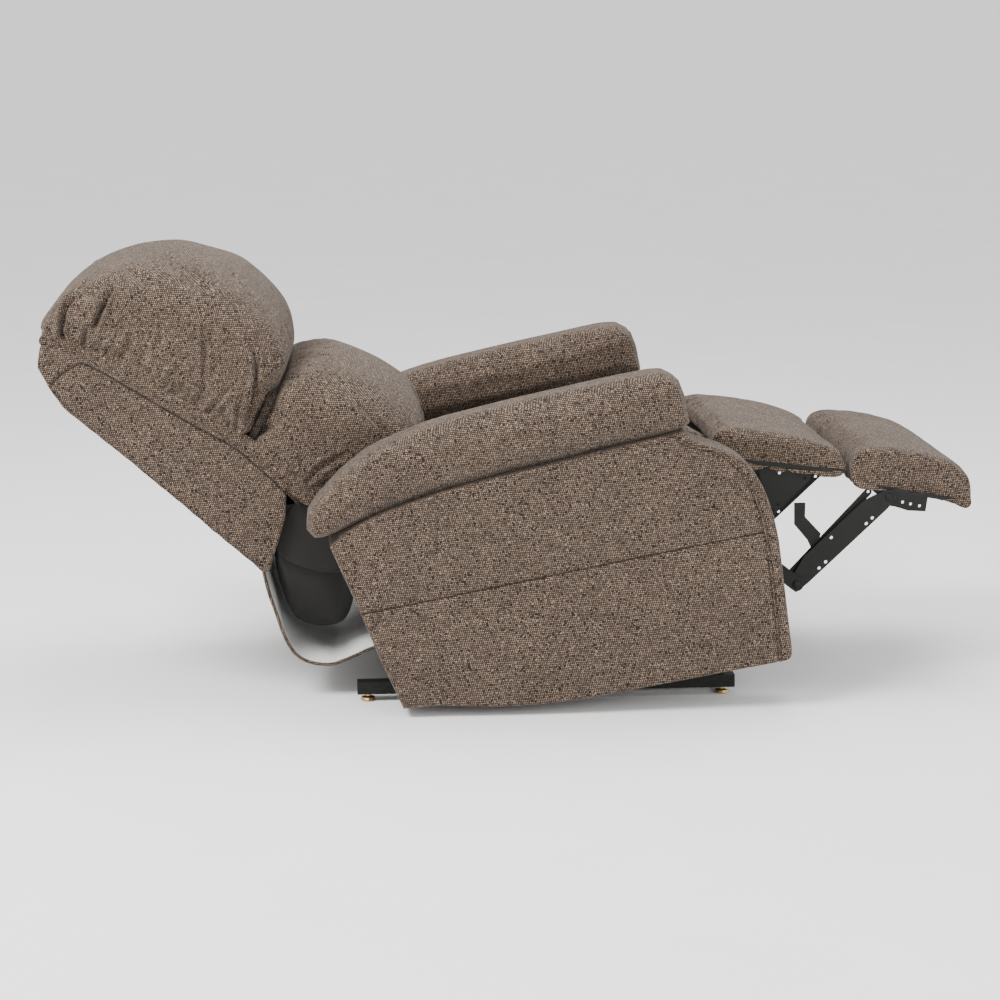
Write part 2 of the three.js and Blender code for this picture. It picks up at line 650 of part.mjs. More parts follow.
function buildPads() {
  const mid = new THREE.Shape();
  mid.moveTo(404, 471);
  mid.lineTo(414, 464);
  mid.lineTo(640, 438);
  mid.quadraticCurveTo(656, 438, 655, 452);
  mid.quadraticCurveTo(650, 466, 630, 475);
  mid.bezierCurveTo(570, 498, 520, 510, 424, 517);
  mid.quadraticCurveTo(402, 520, 398, 500);
  mid.closePath();
  add('mid_pad', padded(mid, -MID_HALF, MID_HALF, 12), tweed);
  const foot = new THREE.Shape();
  foot.moveTo(680, 414);
  foot.lineTo(884, 377);
  foot.quadraticCurveTo(904, 372, 906, 386);
  foot.bezierCurveTo(902, 420, 884, 440, 850, 453);
  foot.bezierCurveTo(800, 470, 750, 478, 700, 478);
  foot.quadraticCurveTo(674, 474, 672, 452);
  foot.quadraticCurveTo(670, 420, 680, 414);
  foot.closePath();
  add('foot_pad', padded(foot, -FOOT_HALF, FOOT_HALF, 12), tweed);
}

buildBase();
buildLiftArms();
buildGuideLinks();
buildLiftFrame();
buildActuator('lift', LIFT_MOTOR, LIFT_LEVER, 240, -1);
buildChassis();
buildUpholstery();
buildBackrest();
add('back_flap', backFlap(), lining);
buildActuator('recline', RECLINE_MOTOR, RECLINE_LUG, 330, 1);
buildLegrest();

export default chair;
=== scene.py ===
import json
import math

import bmesh
import bpy
import numpy as np
from mathutils import Matrix, Vector
from mathutils.bvhtree import BVHTree
from mathutils.geometry import delaunay_2d_cdt


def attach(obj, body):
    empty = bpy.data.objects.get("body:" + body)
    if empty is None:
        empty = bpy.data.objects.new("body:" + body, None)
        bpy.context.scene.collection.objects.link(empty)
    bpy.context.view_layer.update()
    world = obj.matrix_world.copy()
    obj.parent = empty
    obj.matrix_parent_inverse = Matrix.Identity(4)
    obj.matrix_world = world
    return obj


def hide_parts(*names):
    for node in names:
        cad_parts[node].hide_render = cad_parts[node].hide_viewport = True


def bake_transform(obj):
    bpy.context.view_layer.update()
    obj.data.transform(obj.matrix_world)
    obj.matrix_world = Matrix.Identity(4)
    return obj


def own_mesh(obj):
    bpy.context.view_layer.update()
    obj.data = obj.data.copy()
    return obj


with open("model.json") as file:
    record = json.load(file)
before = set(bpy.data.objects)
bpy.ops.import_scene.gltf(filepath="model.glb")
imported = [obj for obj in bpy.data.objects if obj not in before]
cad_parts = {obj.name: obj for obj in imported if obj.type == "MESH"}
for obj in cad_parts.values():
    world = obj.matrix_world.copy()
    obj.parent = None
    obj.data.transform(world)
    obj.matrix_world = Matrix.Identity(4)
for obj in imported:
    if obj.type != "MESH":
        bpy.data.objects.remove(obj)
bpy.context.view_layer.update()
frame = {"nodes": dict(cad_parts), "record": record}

# Everything below is drawn in millimetres, in the CAD frame, and scaled to metres when a mesh is made.
MM = 0.001
SEAT_TILT = math.radians(10.0)
TILT_PIVOT = np.array([63.0, 150.0])
BACK_LEAN = math.radians(49.7)
BACK_PIVOT = np.array([-270.0, 380.0])
PANEL_INNER, PANEL_OUTER = 290.0, 411.0
FLAP_HALF = 248.0
SIDES = (("left", 1.0), ("right", -1.0))
NODES = frame["nodes"]


# ---- Places ----
def turned_by(points, angle, pivot=(0.0, 0.0)):
    """Points in X and Z, taken from the pivot and turned by the angle."""
    p = np.atleast_2d(np.array(points, float)) - pivot
    c, s = math.cos(angle), math.sin(angle)
    return np.column_stack([p[:, 0] * c - p[:, 1] * s, p[:, 0] * s + p[:, 1] * c])


def level(points):
    """Points drawn with the seat level, as X and Z at rest."""
    return TILT_PIVOT + turned_by(points, SEAT_TILT, TILT_PIVOT)


def to_level(points):
    """X and Z at rest, as they are with the seat level: the reverse of level."""
    return TILT_PIVOT + turned_by(points, -SEAT_TILT, TILT_PIVOT)


def back(points):
    """Points drawn on the backrest (a towards the sitter, b up the back), as X and Z at rest."""
    return BACK_PIVOT + turned_by(points, BACK_LEAN)


def to_back(points):
    """X and Z at rest, as places on the backrest: the reverse of back."""
    return turned_by(points, -BACK_LEAN, BACK_PIVOT)


def bezier(a, b, c, d, steps=14):
    a, b, c, d = (np.array(v, float) for v in (a, b, c, d))
    t = np.linspace(0.0, 1.0, steps + 1)[1:, None]
    return (1 - t) ** 3 * a + 3 * (1 - t) ** 2 * t * b + 3 * (1 - t) * t * t * c + t ** 3 * d


def spline(points, steps=8):
    """A smooth curve through the points, in two or three dimensions."""
    p = np.array(points, float)
    p = np.vstack([2 * p[0] - p[1], p, 2 * p[-1] - p[-2]])
    out = []
    t = np.linspace(0.0, 1.0, steps, endpoint=False)[:, None]
    for i in range(1, len(p) - 2):
        a, b, c, d = p[i - 1], p[i], p[i + 1], p[i + 2]
        out.append(0.5 * (2 * b + (c - a) * t + (2 * a - 5 * b + 4 * c - d) * t * t
                          + (3 * b - a - 3 * c + d) * t ** 3))
    return np.vstack([*out, p[-2:-1]])


def spaced(points, step, closed=False):
    """The same line, with its points evenly spaced."""
    p = np.array(points, float)
    if closed:
        p = np.vstack([p, p[:1]])
    lengths = np.r_[0.0, np.cumsum(np.linalg.norm(np.diff(p, axis=0), axis=1))]
    count = max(2, int(round(lengths[-1] / step)))
    at = np.linspace(0.0, lengths[-1], count + 1)
    even = np.column_stack([np.interp(at, lengths, p[:, k]) for k in range(p.shape[1])])
    return even[:-1] if closed else even


def nearest_on(points, line):
    """The nearest point on a line of joined points, how far it is, and where along the line's steps."""
    p, q = np.array(points, float), np.array(line, float)
    best, spots, along = np.full(len(p), 1e9), np.zeros_like(p), np.zeros(len(p))
    for i, (a, b) in enumerate(zip(q, q[1:])):
        d = b - a
        t = np.clip((p - a) @ d / max(d @ d, 1e-9), 0.0, 1.0)
        spot = a + t[:, None] * d
        far = np.linalg.norm(p - spot, axis=1)
        closer = far < best
        best[closer], spots[closer] = far[closer], spot[closer]
        along[closer] = (i + t[closer]) / (len(q) - 1)
    return spots, best, along


def distance_to(points, line, closed=False):
    """How far each point is from a line of joined points."""
    return nearest_on(points, np.vstack([line, line[:1]]) if closed else line)[1]


def unit(rows):
    return rows / np.linalg.norm(rows, axis=1)[:, None]


def upright(flat, y):
    """Points from their X and Z, all at one Y or each at its own."""
    return np.column_stack([flat[:, 0], np.broadcast_to(y, len(flat)), flat[:, 1]])


def ease(t):
    t = np.clip(t, 0.0, 1.0)
    return t * t * (3.0 - 2.0 * t)


# ---- Meshes ----
def new_piece(name, vertices, faces, material, body):
    mesh = bpy.data.meshes.new(name)
    mesh.from_pydata([tuple(v) for v in np.array(vertices, float) * MM], [], [tuple(f) for f in faces])
    mesh.validate()
    return dress(bpy.data.objects.new(name, mesh), material, body)


def dress(piece, material, body):
    """Gives the piece its material and the body that it rides on."""
    if piece.name not in bpy.context.scene.collection.objects:
        bpy.context.scene.collection.objects.link(piece)
    piece.data.materials.clear()
    piece.data.materials.append(material)
    piece.data.shade_smooth()
    if body:
        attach(piece, body)
    return piece


def points_of(mesh):
    co = np.empty(len(mesh.vertices) * 3)
    mesh.vertices.foreach_get("co", co)
    return co.reshape(-1, 3) / MM


def set_points(mesh, points):
    mesh.vertices.foreach_set("co", (np.array(points) * MM).ravel())
    mesh.update()


def normals_of(mesh):
    n = np.empty(len(mesh.vertices) * 3)
    mesh.vertex_normals.foreach_get("vector", n)
    return n.reshape(-1, 3)


def applied(piece):
    """The piece's mesh with its modifiers applied."""
    graph = bpy.context.evaluated_depsgraph_get()
    mesh = bpy.data.meshes.new_from_object(piece.evaluated_get(graph))
    old = piece.data
    piece.modifiers.clear()
    piece.data = mesh
    bpy.data.meshes.remove(old)


def remeshed(name, mesh, size):
    """A new object with the mesh remade from voxels of one size."""
    piece = bpy.data.objects.new(name, mesh)
    bpy.context.scene.collection.objects.link(piece)
    remesh = piece.modifiers.new("even", "REMESH")
    remesh.mode = "VOXEL"
    remesh.voxel_size = size * MM
    applied(piece)
    return piece


def tree_of(mesh):
    """A search tree of the mesh's faces, in metres."""
    faces = [tuple(f.vertices) for f in mesh.polygons]
    return BVHTree.FromPolygons([v.co.copy() for v in mesh.vertices], faces)


def slab_faces(rows, columns):
    """The faces of a thin closed sheet: two layers of points, and the rim that joins them."""
    faces = []
    total = rows * columns
    for i in range(rows - 1):
        for j in range(columns - 1):
            a, b = i * columns + j, (i + 1) * columns + j
            faces.append((a, a + 1, b + 1, b))
            faces.append((total + a, total + b, total + b + 1, total + a + 1))
    rim = list(range(columns)) + [i * columns + columns - 1 for i in range(1, rows)]
    rim += [(rows - 1) * columns + j for j in range(columns - 2, -1, -1)]
    rim += [i * columns for i in range(rows - 2, 0, -1)]
    for a, b in zip(rim, rim[1:] + rim[:1]):
        faces.append((a, total + a, total + b, b))
    return faces


def ring_faces(count, sides):
    """The faces of a row of rings, with a cap at each end."""
    faces = []
    for i in range(count - 1):
        for k in range(sides):
            m = (k + 1) % sides
            faces.append((i * sides + k, i * sides + m, (i + 1) * sides + m, (i + 1) * sides + k))
    faces.append(tuple(range(sides))[::-1])
    faces.append(tuple(range((count - 1) * sides, count * sides)))
    return faces


def relax(piece, rounds):
    smooth = piece.modifiers.new("relax", "SMOOTH")
    smooth.iterations = rounds
    smooth.factor = 0.5
    applied(piece)


CLOTH_STIFFNESS, CLOTH_PRESSURE, CLOTH_FRAMES = 12.0, 4.0, 20


def inflate(piece, cap, shrink):
    """Swells a closed cover with a short cloth simulation, no point moving further than cap."""
    start = points_of(piece.data)
    cloth = piece.modifiers.new("cover", "CLOTH")
    cloth.settings.quality = 4
    cloth.settings.mass = 0.35
    cloth.settings.tension_stiffness = CLOTH_STIFFNESS
    cloth.settings.compression_stiffness = CLOTH_STIFFNESS
    cloth.settings.shear_stiffness = 4.0
    cloth.settings.bending_stiffness = 0.6
    cloth.settings.use_pressure = True
    cloth.settings.uniform_pressure_force = CLOTH_PRESSURE
    cloth.settings.shrink_min = shrink
    cloth.settings.effector_weights.gravity = 0.0
    cloth.collision_settings.use_collision = False
    cloth.point_cache.frame_start = 1
    cloth.point_cache.frame_end = CLOTH_FRAMES
    for number in range(1, CLOTH_FRAMES + 1):
        bpy.context.scene.frame_set(number)
    applied(piece)
    bpy.context.scene.frame_set(1)
    move = points_of(piece.data) - start
    far = np.linalg.norm(move, axis=1)
    set_points(piece.data, start + move * np.minimum(1.0, cap / np.maximum(far, 1e-6))[:, None])


def square_off(mesh, line, half, radius):
    """Fills out the rounded side edges of a cushion along the line where it meets the shell behind it."""
    p = points_of(mesh)
    flat = p[:, [0, 2]]
    nearest, far, _ = nearest_on(flat, line)
    share = (radius - far) / radius
    side = (np.abs(p[:, 1]) - (half - radius)) / radius
    corner = (share > 0.02) & (side > 0.02)
    most = np.maximum(np.maximum(share, side), 1e-6)
    gain = np.where(corner, most ** -0.9, 1.0)
    moved = radius * (1.0 - np.minimum(share * gain, 0.985))
    inward = (flat - nearest) / np.maximum(far, 1e-6)[:, None]
    p[:, [0, 2]] = np.where(corner[:, None], nearest + inward * moved[:, None], flat)
    wide = half - radius + radius * np.minimum(side * gain, 0.985)
    p[:, 1] = np.where(corner, np.sign(p[:, 1]) * wide, p[:, 1])
    set_points(mesh, p)


# Towards a pillow's sides, its thickness falls off by this power, and more steeply beyond SHOULDER_START.
CROWN_POWER, CROWN_SHOULDER, SHOULDER_START = 2.2, 0.10, 0.62


def crown(mesh, line, half, share, settle, upper):
    """Thins a cushion towards both sides, measured from the line where it meets the shell behind it."""
    p = points_of(mesh)
    nearest, _, _ = nearest_on(p[:, [0, 2]], line)
    aside = np.abs(p[:, 1]) / half
    shoulder = np.clip((aside - SHOULDER_START) / (1.0 - SHOULDER_START), 0.0, 1.0) ** 2
    keep = 1.0 - share * aside ** CROWN_POWER - CROWN_SHOULDER * shoulder
    keep -= settle + upper * ease((to_back(p[:, [0, 2]])[:, 1] - 470.0) / 90.0)
    p[:, [0, 2]] = nearest + (p[:, [0, 2]] - nearest) * keep[:, None]
    set_points(mesh, p)


def tuck(piece, line, depth):
    """Presses the edge of a cushion down onto the shell behind it, so that no gap shows along the seam."""
    p = points_of(piece.data)
    nearest, far, _ = nearest_on(p[:, [0, 2]], line)
    away = (p[:, [0, 2]] - nearest) / np.maximum(far, 1e-6)[:, None]
    share = (1.0 - ease(far / 22.0)) * ease((np.abs(p[:, 1]) - 200.0) / 40.0)
    p[:, [0, 2]] = p[:, [0, 2]] - away * (np.minimum(depth, far) * share)[:, None]
    p[:, 1] += np.sign(p[:, 1]) * 3.0 * share
    set_points(piece.data, p)


def hold_in(piece, tree, proud):
    """Eases back whatever stands further than proud out of the solid that the tree holds."""
    p = points_of(piece.data)
    for i, point in enumerate(p):
        spot, normal, _, _ = tree.find_nearest(Vector(point * MM))
        away = point - np.array(spot) / MM
        if away @ np.array(normal) > 0.0:
            far = np.linalg.norm(away)
            if far > 1e-3:
                p[i] = point - away * (1.0 - proud * (1.0 - math.exp(-far / proud)) / far)
    set_points(piece.data, p)


def dimple(piece, depth, size, seed):
    """Slow, shallow unevenness, as stuffed cloth has: a sum of waves in fixed directions."""
    draw = np.random.RandomState(seed)
    p = points_of(piece.data)
    total = np.zeros(len(p))
    for _ in range(9):
        heading = draw.normal(size=3)
        heading /= np.linalg.norm(heading)
        total += np.sin(p @ heading * (2 * np.pi / (size * draw.uniform(0.6, 1.7))) + draw.uniform(0, 6.28))
    set_points(piece.data, p + normals_of(piece.data) * (total * depth / 3.0)[:, None])


def padded_piece(node, name, body, material, voxel=6.0, inset=6.0, rounds=6, cap=24.0, shrink=-0.03,
                 limit=None, squared=None, crowned=None, proud=3.0, swell=True, uneven=1.0):
    """A soft cover grown from the CAD solid of one node, which it replaces."""
    mesh = NODES[node].data.copy()
    if squared:
        square_off(mesh, *squared)
    if crowned:
        fine = remeshed(f"{name}_base", mesh, 12.0)
        mesh = fine.data
        crown(mesh, *crowned)
        bpy.data.objects.remove(fine)
    tree = tree_of(mesh)
    piece = remeshed(name, mesh, voxel)
    relax(piece, rounds)
    if swell:
        set_points(piece.data, points_of(piece.data) - normals_of(piece.data) * inset)
        inflate(piece, cap, shrink)
        relax(piece, 2)
    dimple(piece, uneven, 95.0, len(name))
    hold_in(piece, tree, proud)
    if limit:
        keep_between(piece, *limit)
    finer = piece.modifiers.new("finer", "SUBSURF")
    finer.levels = finer.render_levels = 1
    applied(piece)
    dress(piece, material, body)
    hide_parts(node)
    return piece


def keep_between(piece, low, high):
    """Holds the piece's Y between two planes, easing the last few millimetres."""
    p = points_of(piece.data)
    soft = 5.0
    for sign, plane in ((1.0, high), (-1.0, -low)):
        over = sign * p[:, 1] - (plane - soft)
        squeezed = plane - soft + soft * (1.0 - np.exp(-np.maximum(over, 0.0) / soft))
        p[:, 1] = np.where(over > 0.0, sign * squeezed, p[:, 1])
    set_points(piece.data, p)


def mirrored(piece, name, node, body, material):
    """The same soft piece on the other side."""
    mesh = piece.data.copy()
    p = points_of(mesh)
    p[:, 1] *= -1.0
    set_points(mesh, p)
    mesh.flip_normals()
    other = bpy.data.objects.new(name, mesh)
    dress(other, material, body)
    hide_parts(node)
    return other


def crease(piece, path, sign, depth, width, shoulder=0.35, beyond_y=190.0):
    """Presses a fold into one side of a cover along a path in X and Z, deepest at its middle."""
    path = spline(path, 6)
    p, n = points_of(piece.data), normals_of(piece.data)
    flat = p[:, [0, 2]]
    near = np.all((flat > path.min(0) - 4 * width) & (flat < path.max(0) + 4 * width), axis=1)
    near = np.where(near & (sign * p[:, 1] > beyond_y) & (sign * n[:, 1] > 0.1))[0]
    _, best, along = nearest_on(flat[near], path)
    strength = np.sin(np.pi * np.clip(along, 0.0, 1.0)) ** 0.6
    r = best / width
    move = depth * strength * (-np.exp(-r * r) + shoulder * np.exp(-((r - 1.9) / 0.8) ** 2))
    p[near] += n[near] * move[:, None]
    set_points(piece.data, p)


def skirt(piece, start, end, half, drop, thick, ends):
    """Draws the cover's lower edge down past its board, with the board's own space left open inside."""
    start, end = np.array(start, float), np.array(end, float)
    length = np.linalg.norm(end - start)
    run = (end - start) / length
    down = np.array([run[1], -run[0]])
    p = points_of(piece.data)
    flat = p[:, [0, 2]] - start
    along, below = flat @ run, flat @ down
    edge = half - np.abs(p[:, 1])
    if ends[0]:
        edge = np.minimum(edge, along)
    if ends[1]:
        edge = np.minimum(edge, length - along)
    share = (1.0 - ease((edge - thick) / 4.0)) * (1.0 - ease(-below / 45.0))
    belly = 0.72 + 0.28 * np.sin(np.pi * np.clip(along / length, 0.0, 1.0))
    p[:, [0, 2]] = p[:, [0, 2]] + down * (drop * belly * share)[:, None]
    beside = half - np.abs(p[:, 1])
    low = share * (1.0 - ease((-below - 4.0) / 18.0)) * (1.0 - ease((beside - thick) / 4.0))
    p[:, 1] += np.sign(p[:, 1]) * (beside + 2.5) * low
    set_points(piece.data, p)


def tube(name, path, radius, material, body, sides=8, squash=1.0):
    """A round cord along a path: a welt, a piping or a wire."""
    p = np.array(path, float)
    ahead = np.roll(p, -1, axis=0) - np.roll(p, 1, axis=0)
    ahead[0], ahead[-1] = p[1] - p[0], p[-1] - p[-2]
    ahead = unit(ahead)
    up = np.cross(ahead[0], [0.0, 0.0, 1.0] if abs(ahead[0][2]) < 0.9 else [1.0, 0.0, 0.0])
    rings = []
    for centre, t in zip(p, ahead):
        up = up - t * (up @ t)
        up /= np.linalg.norm(up)
        side = np.cross(t, up)
        turn = np.linspace(0, 2 * np.pi, sides, endpoint=False)[:, None]
        rings.append(centre + radius * (np.cos(turn) * up + squash * np.sin(turn) * side))
    return new_piece(name, np.vstack(rings), ring_faces(len(p), sides), material, body)


# ---- Materials ----
class Graph:
    """Short calls for building one material's nodes."""

    def __init__(self, name):
        self.material = bpy.data.materials.new(name)
        self.material.use_nodes = True
        self.tree = self.material.node_tree
        self.shader = self.tree.nodes["Principled BSDF"]

    def node(self, kind, inputs=(), **settings):
        made = self.tree.nodes.new(kind)
        for key, value in settings.items():
            setattr(made, key, value)
        for key, value in dict(inputs).items():
            self.feed(made.inputs[key], value)
        return made

    def feed(self, socket, value):
        if isinstance(value, bpy.types.NodeSocket):
            self.tree.links.new(value, socket)
        else:
            socket.default_value = value

    def math(self, operation, a, b=0.0, c=0.0, clamp=False):
        made = self.node("ShaderNodeMath", {0: a, 1: b, 2: c}, operation=operation, use_clamp=clamp)
        return made.outputs[0]

    def affine(self, value, gain, base):
        return self.math("MULTIPLY_ADD", value, gain, base)

    def place(self):
        return self.node("ShaderNodeTexCoord").outputs["Object"]

    def stretched(self, vector, scale):
        return self.node("ShaderNodeMapping", {"Vector": vector, "Scale": scale}).outputs[0]

    def mix(self, share, a, b, blend="MIX"):
        made = self.node("ShaderNodeMix", {0: share, 6: a, 7: b}, data_type="RGBA", blend_type=blend)
        return made.outputs[2]

    def choose(self, share, a, b):
        return self.node("ShaderNodeMix", {0: share, 2: a, 3: b}, data_type="FLOAT").outputs[0]

    def noise(self, vector, scale, detail=2.0, roughness=0.5):
        made = self.node("ShaderNodeTexNoise", {"Vector": vector, "Scale": scale, "Detail": detail,
                                                "Roughness": roughness})
        return made.outputs["Fac"]

    def ramp(self, value, stops):
        made = self.node("ShaderNodeValToRGB", {0: value})
        points = made.color_ramp.elements
        while len(points) < len(stops):
            points.new(0.5)
        for point, (position, colour) in zip(points, stops):
            point.position = position
            point.color = (*colour, 1.0)
        return made.outputs[0]

    def bump(self, height, strength, distance):
        made = self.node("ShaderNodeBump", {"Height": height, "Strength": strength, "Distance": distance})
        self.feed(self.shader.inputs["Normal"], made.outputs[0])

    def set(self, **values):
        for key, value in values.items():
            self.feed(self.shader.inputs[key.replace("_", " ")], value)


def tint(colour, gain):
    return tuple(c * gain for c in colour)


def turned(graph, output, angle):
    """Object coordinates or normals, turned about Y so that the weave lies along the piece."""
    place = graph.node("ShaderNodeTexCoord").outputs[output]
    return graph.node("ShaderNodeMapping", {"Vector": place, "Rotation": (0.0, angle, 0.0)},
                      vector_type="VECTOR").outputs[0]


# The threads of every cover are turned by this angle about Y.
WEAVE_ANGLE = math.radians(49.7)
WEAVE_PITCH = (2.15, 3.0)
TWEED_SHADES = ((0.0075, 0.005, 0.004), (0.073, 0.0515, 0.038), (0.45, 0.335, 0.245))


def tweed(name, streak_angle, gain=1.0):
    """Two-tone tweed: light dashes over dark threads, each with its own shade, in three box projections."""
    g = Graph(name)
    place = turned(g, "Object", WEAVE_ANGLE)
    facing = turned(g, "Normal", WEAVE_ANGLE)
    wander = g.node("ShaderNodeTexNoise", {"Vector": place, "Scale": 22.0, "Detail": 1.0}).outputs["Color"]
    wander = g.node("ShaderNodeVectorMath", {0: wander, 1: (0.5, 0.5, 0.5)}, operation="SUBTRACT").outputs[0]
    wander = g.node("ShaderNodeVectorMath", {0: wander, "Scale": 0.0030}, operation="SCALE").outputs[0]
    moved = g.node("ShaderNodeVectorMath", {0: place, 1: wander}, operation="ADD").outputs[0]
    moved = g.node("ShaderNodeVectorMath", {0: moved, "Scale": 1000.0}, operation="SCALE").outputs[0]
    x, y, z = g.node("ShaderNodeSeparateXYZ", {0: moved}).outputs
    n = g.node("ShaderNodeSeparateXYZ", {0: facing}).outputs
    nx, ny, nz = (g.math("ABSOLUTE", one) for one in n)
    dither = g.affine(g.noise(place, 90.0, 1.0), 0.12, -0.06)
    is_x = g.math("GREATER_THAN", g.math("ADD", nx, dither), g.math("MAXIMUM", ny, nz))
    is_y = g.math("GREATER_THAN", g.math("ADD", ny, dither), g.math("MAXIMUM", nx, nz))
    u = g.choose(is_x, x, y)
    v = g.choose(g.math("MAXIMUM", is_x, is_y), y, z)
    v, u = g.math("DIVIDE", u, WEAVE_PITCH[0]), g.math("DIVIDE", v, WEAVE_PITCH[1])
    cell_u, cell_v = g.math("FLOOR", u), g.math("FLOOR", v)
    part_u = g.math("SUBTRACT", g.math("FRACT", u), 0.5)
    part_v = g.math("SUBTRACT", g.math("FRACT", v), 0.5)

    def chance(a, b):
        spot = g.node("ShaderNodeCombineXYZ", {0: a, 1: b}).outputs[0]
        return g.node("ShaderNodeTexWhiteNoise", {"Vector": spot}, noise_dimensions="2D").outputs["Value"]

    even = g.math("FLOORED_MODULO", g.math("ADD", cell_u, cell_v), 2.0)
    flip = g.math("LESS_THAN", chance(cell_u, cell_v), 0.05)
    over = g.math("ABSOLUTE", g.math("SUBTRACT", even, flip))
    hump_u = g.math("COSINE", g.math("MULTIPLY", part_u, math.pi))
    hump_v = g.math("COSINE", g.math("MULTIPLY", part_v, math.pi))
    lying = g.math("MULTIPLY", hump_v, g.affine(hump_u, 0.45, 0.55))
    standing = g.math("MULTIPLY", hump_u, g.affine(hump_v, 0.45, 0.55))
    height = g.choose(over, lying, standing)
    pair_u = g.math("FLOOR", g.math("MULTIPLY", cell_u, 0.5))
    dark_tone = g.affine(chance(pair_u, cell_v), 0.16, 0.06)
    light_tone = g.affine(chance(cell_u, g.math("MULTIPLY", cell_v, 0.5)), 0.30, 0.46)
    tone = g.choose(over, dark_tone, light_tone)
    # Each thread darkens towards its sides, following its height: painted shade between the threads.
    tone = g.math("MULTIPLY", tone, g.affine(height, 0.62, 0.42))
    along = turned(g, "Object", streak_angle)
    streak = g.noise(g.stretched(along, (14.0, 14.0, 330.0)),
                     1.0, 2.0, 0.6)
    cloudy = g.noise(place, 7.0, 3.0, 0.55)
    fibre = g.noise(place, 900.0, 2.0, 0.6)
    tone = g.math("MULTIPLY", tone, g.affine(streak, 0.36, 0.82))
    tone = g.math("MULTIPLY", tone, g.affine(cloudy, 0.16, 0.92))
    tone = g.math("ADD", tone, g.affine(fibre, 0.14, -0.07), clamp=True)
    scaled = [tint(colour, gain) for colour in TWEED_SHADES]
    colour = g.ramp(tone, [(0.03, scaled[0]), (0.40, scaled[1]), (0.92, scaled[2])])
    worn = g.ramp(g.node("ShaderNodeNewGeometry").outputs["Pointiness"],
                  [(0.50, (0.0, 0.0, 0.0)), (0.56, (1.0, 1.0, 1.0))])
    faded = g.mix(1.0, colour, (1.25, 1.22, 1.19, 1.0), "MULTIPLY")
    colour = g.mix(g.math("MULTIPLY", worn, 0.35), colour, faded)
    g.set(Base_Color=colour, Roughness=g.affine(fibre, 0.10, 0.86), Specular_IOR_Level=0.18,
          Sheen_Weight=0.12, Sheen_Roughness=0.45, Sheen_Tint=(0.86, 0.80, 0.74, 1.0))
    g.bump(g.affine(fibre, 0.35, height), 0.7, 0.0009)
    return g.material


def plain_weave(name, colour, pitch, rough, sheen, strength):
    """A tight single-colour cloth, such as the lining and the dust cover."""
    g = Graph(name)
    place = g.place()
    fine = g.node("ShaderNodeVectorMath", {0: place, "Scale": 1000.0 / pitch * math.pi},
                  operation="SCALE").outputs[0]
    x, y, z = g.node("ShaderNodeSeparateXYZ", {0: fine}).outputs
    grid = g.math("MULTIPLY", g.math("SINE", g.math("ADD", x, z)), g.math("SINE", y))
    cloudy = g.noise(place, 14.0, 4.0, 0.6)
    threads = g.math("MULTIPLY", grid, 0.08)
    shade = g.math("ADD", threads, g.affine(cloudy, 0.55, 0.22), clamp=True)
    low = tint(colour, 0.72)
    high = tuple(min(1.0, c * 1.22) for c in colour)
    g.set(Base_Color=g.ramp(shade, [(0.1, low), (0.9, high)]),
          Roughness=g.affine(cloudy, 0.12, rough), Sheen_Weight=sheen, Specular_IOR_Level=0.2)
    g.bump(grid, strength, 0.0006)
    return g.material


def painted_metal(name, colour, rough, metallic, grain=420.0, strength=0.12, worn=(0.25, 0.24, 0.23),
                  specular=0.5):
    """Coated or plated steel: a fine orange-peel skin, rubbed brighter along its edges."""
    g = Graph(name)
    place = g.place()
    skin = g.noise(place, grain, 2.0, 0.5)
    cloudy = g.noise(place, 22.0, 4.0, 0.6)
    scratch = g.noise(g.stretched(place, (40.0, 400.0, 500.0)),
                      1.0, 2.0, 0.6)
    base = g.ramp(cloudy, [(0.3, tint(colour, 0.8)), (0.7, tint(colour, 1.25))])
    edge = g.ramp(g.node("ShaderNodeNewGeometry").outputs["Pointiness"],
                  [(0.56, (0.0, 0.0, 0.0)), (0.68, (1.0, 1.0, 1.0))])
    rubbed = g.math("MULTIPLY", edge, g.math("GREATER_THAN", scratch, 0.55))
    g.set(Base_Color=g.mix(g.math("MULTIPLY", rubbed, 0.25), base, (*worn, 1.0)), Metallic=metallic,
          Roughness=g.affine(cloudy, 0.22, rough - 0.11), Specular_IOR_Level=specular)
    g.bump(g.affine(scratch, 0.3, skin), strength, 0.0004)
    return g.material


def timber(name):
    g = Graph(name)
    place = g.place()
    stretched = g.stretched(place, (60.0, 3.0, 60.0))
    rings = g.noise(stretched, 1.4, 4.0, 0.62)
    pores = g.noise(g.stretched(place, (700.0, 22.0, 700.0)),
                    1.0, 2.0, 0.5)
    g.set(Base_Color=g.ramp(rings, [(0.25, (0.36, 0.22, 0.11)), (0.55, (0.50, 0.33, 0.18)),
                                    (0.8, (0.60, 0.43, 0.26))]),
          Roughness=g.affine(pores, 0.2, 0.55))
    g.bump(g.affine(pores, 0.5, rings), 0.25, 0.0006)
    return g.material


def moulded(name, colour, rough):
    g = Graph(name)
    place = g.place()
    pebble = g.node("ShaderNodeTexVoronoi", {"Vector": place, "Scale": 900.0}).outputs["Distance"]
    cloudy = g.noise(place, 30.0, 3.0, 0.5)
    shades = [(0.3, tint(colour, 0.85)), (0.7, tint(colour, 1.2))]
    g.set(Base_Color=g.ramp(cloudy, shades),
          Roughness=g.affine(cloudy, 0.15, rough))
    g.bump(pebble, 0.2, 0.0003)
    return g.material


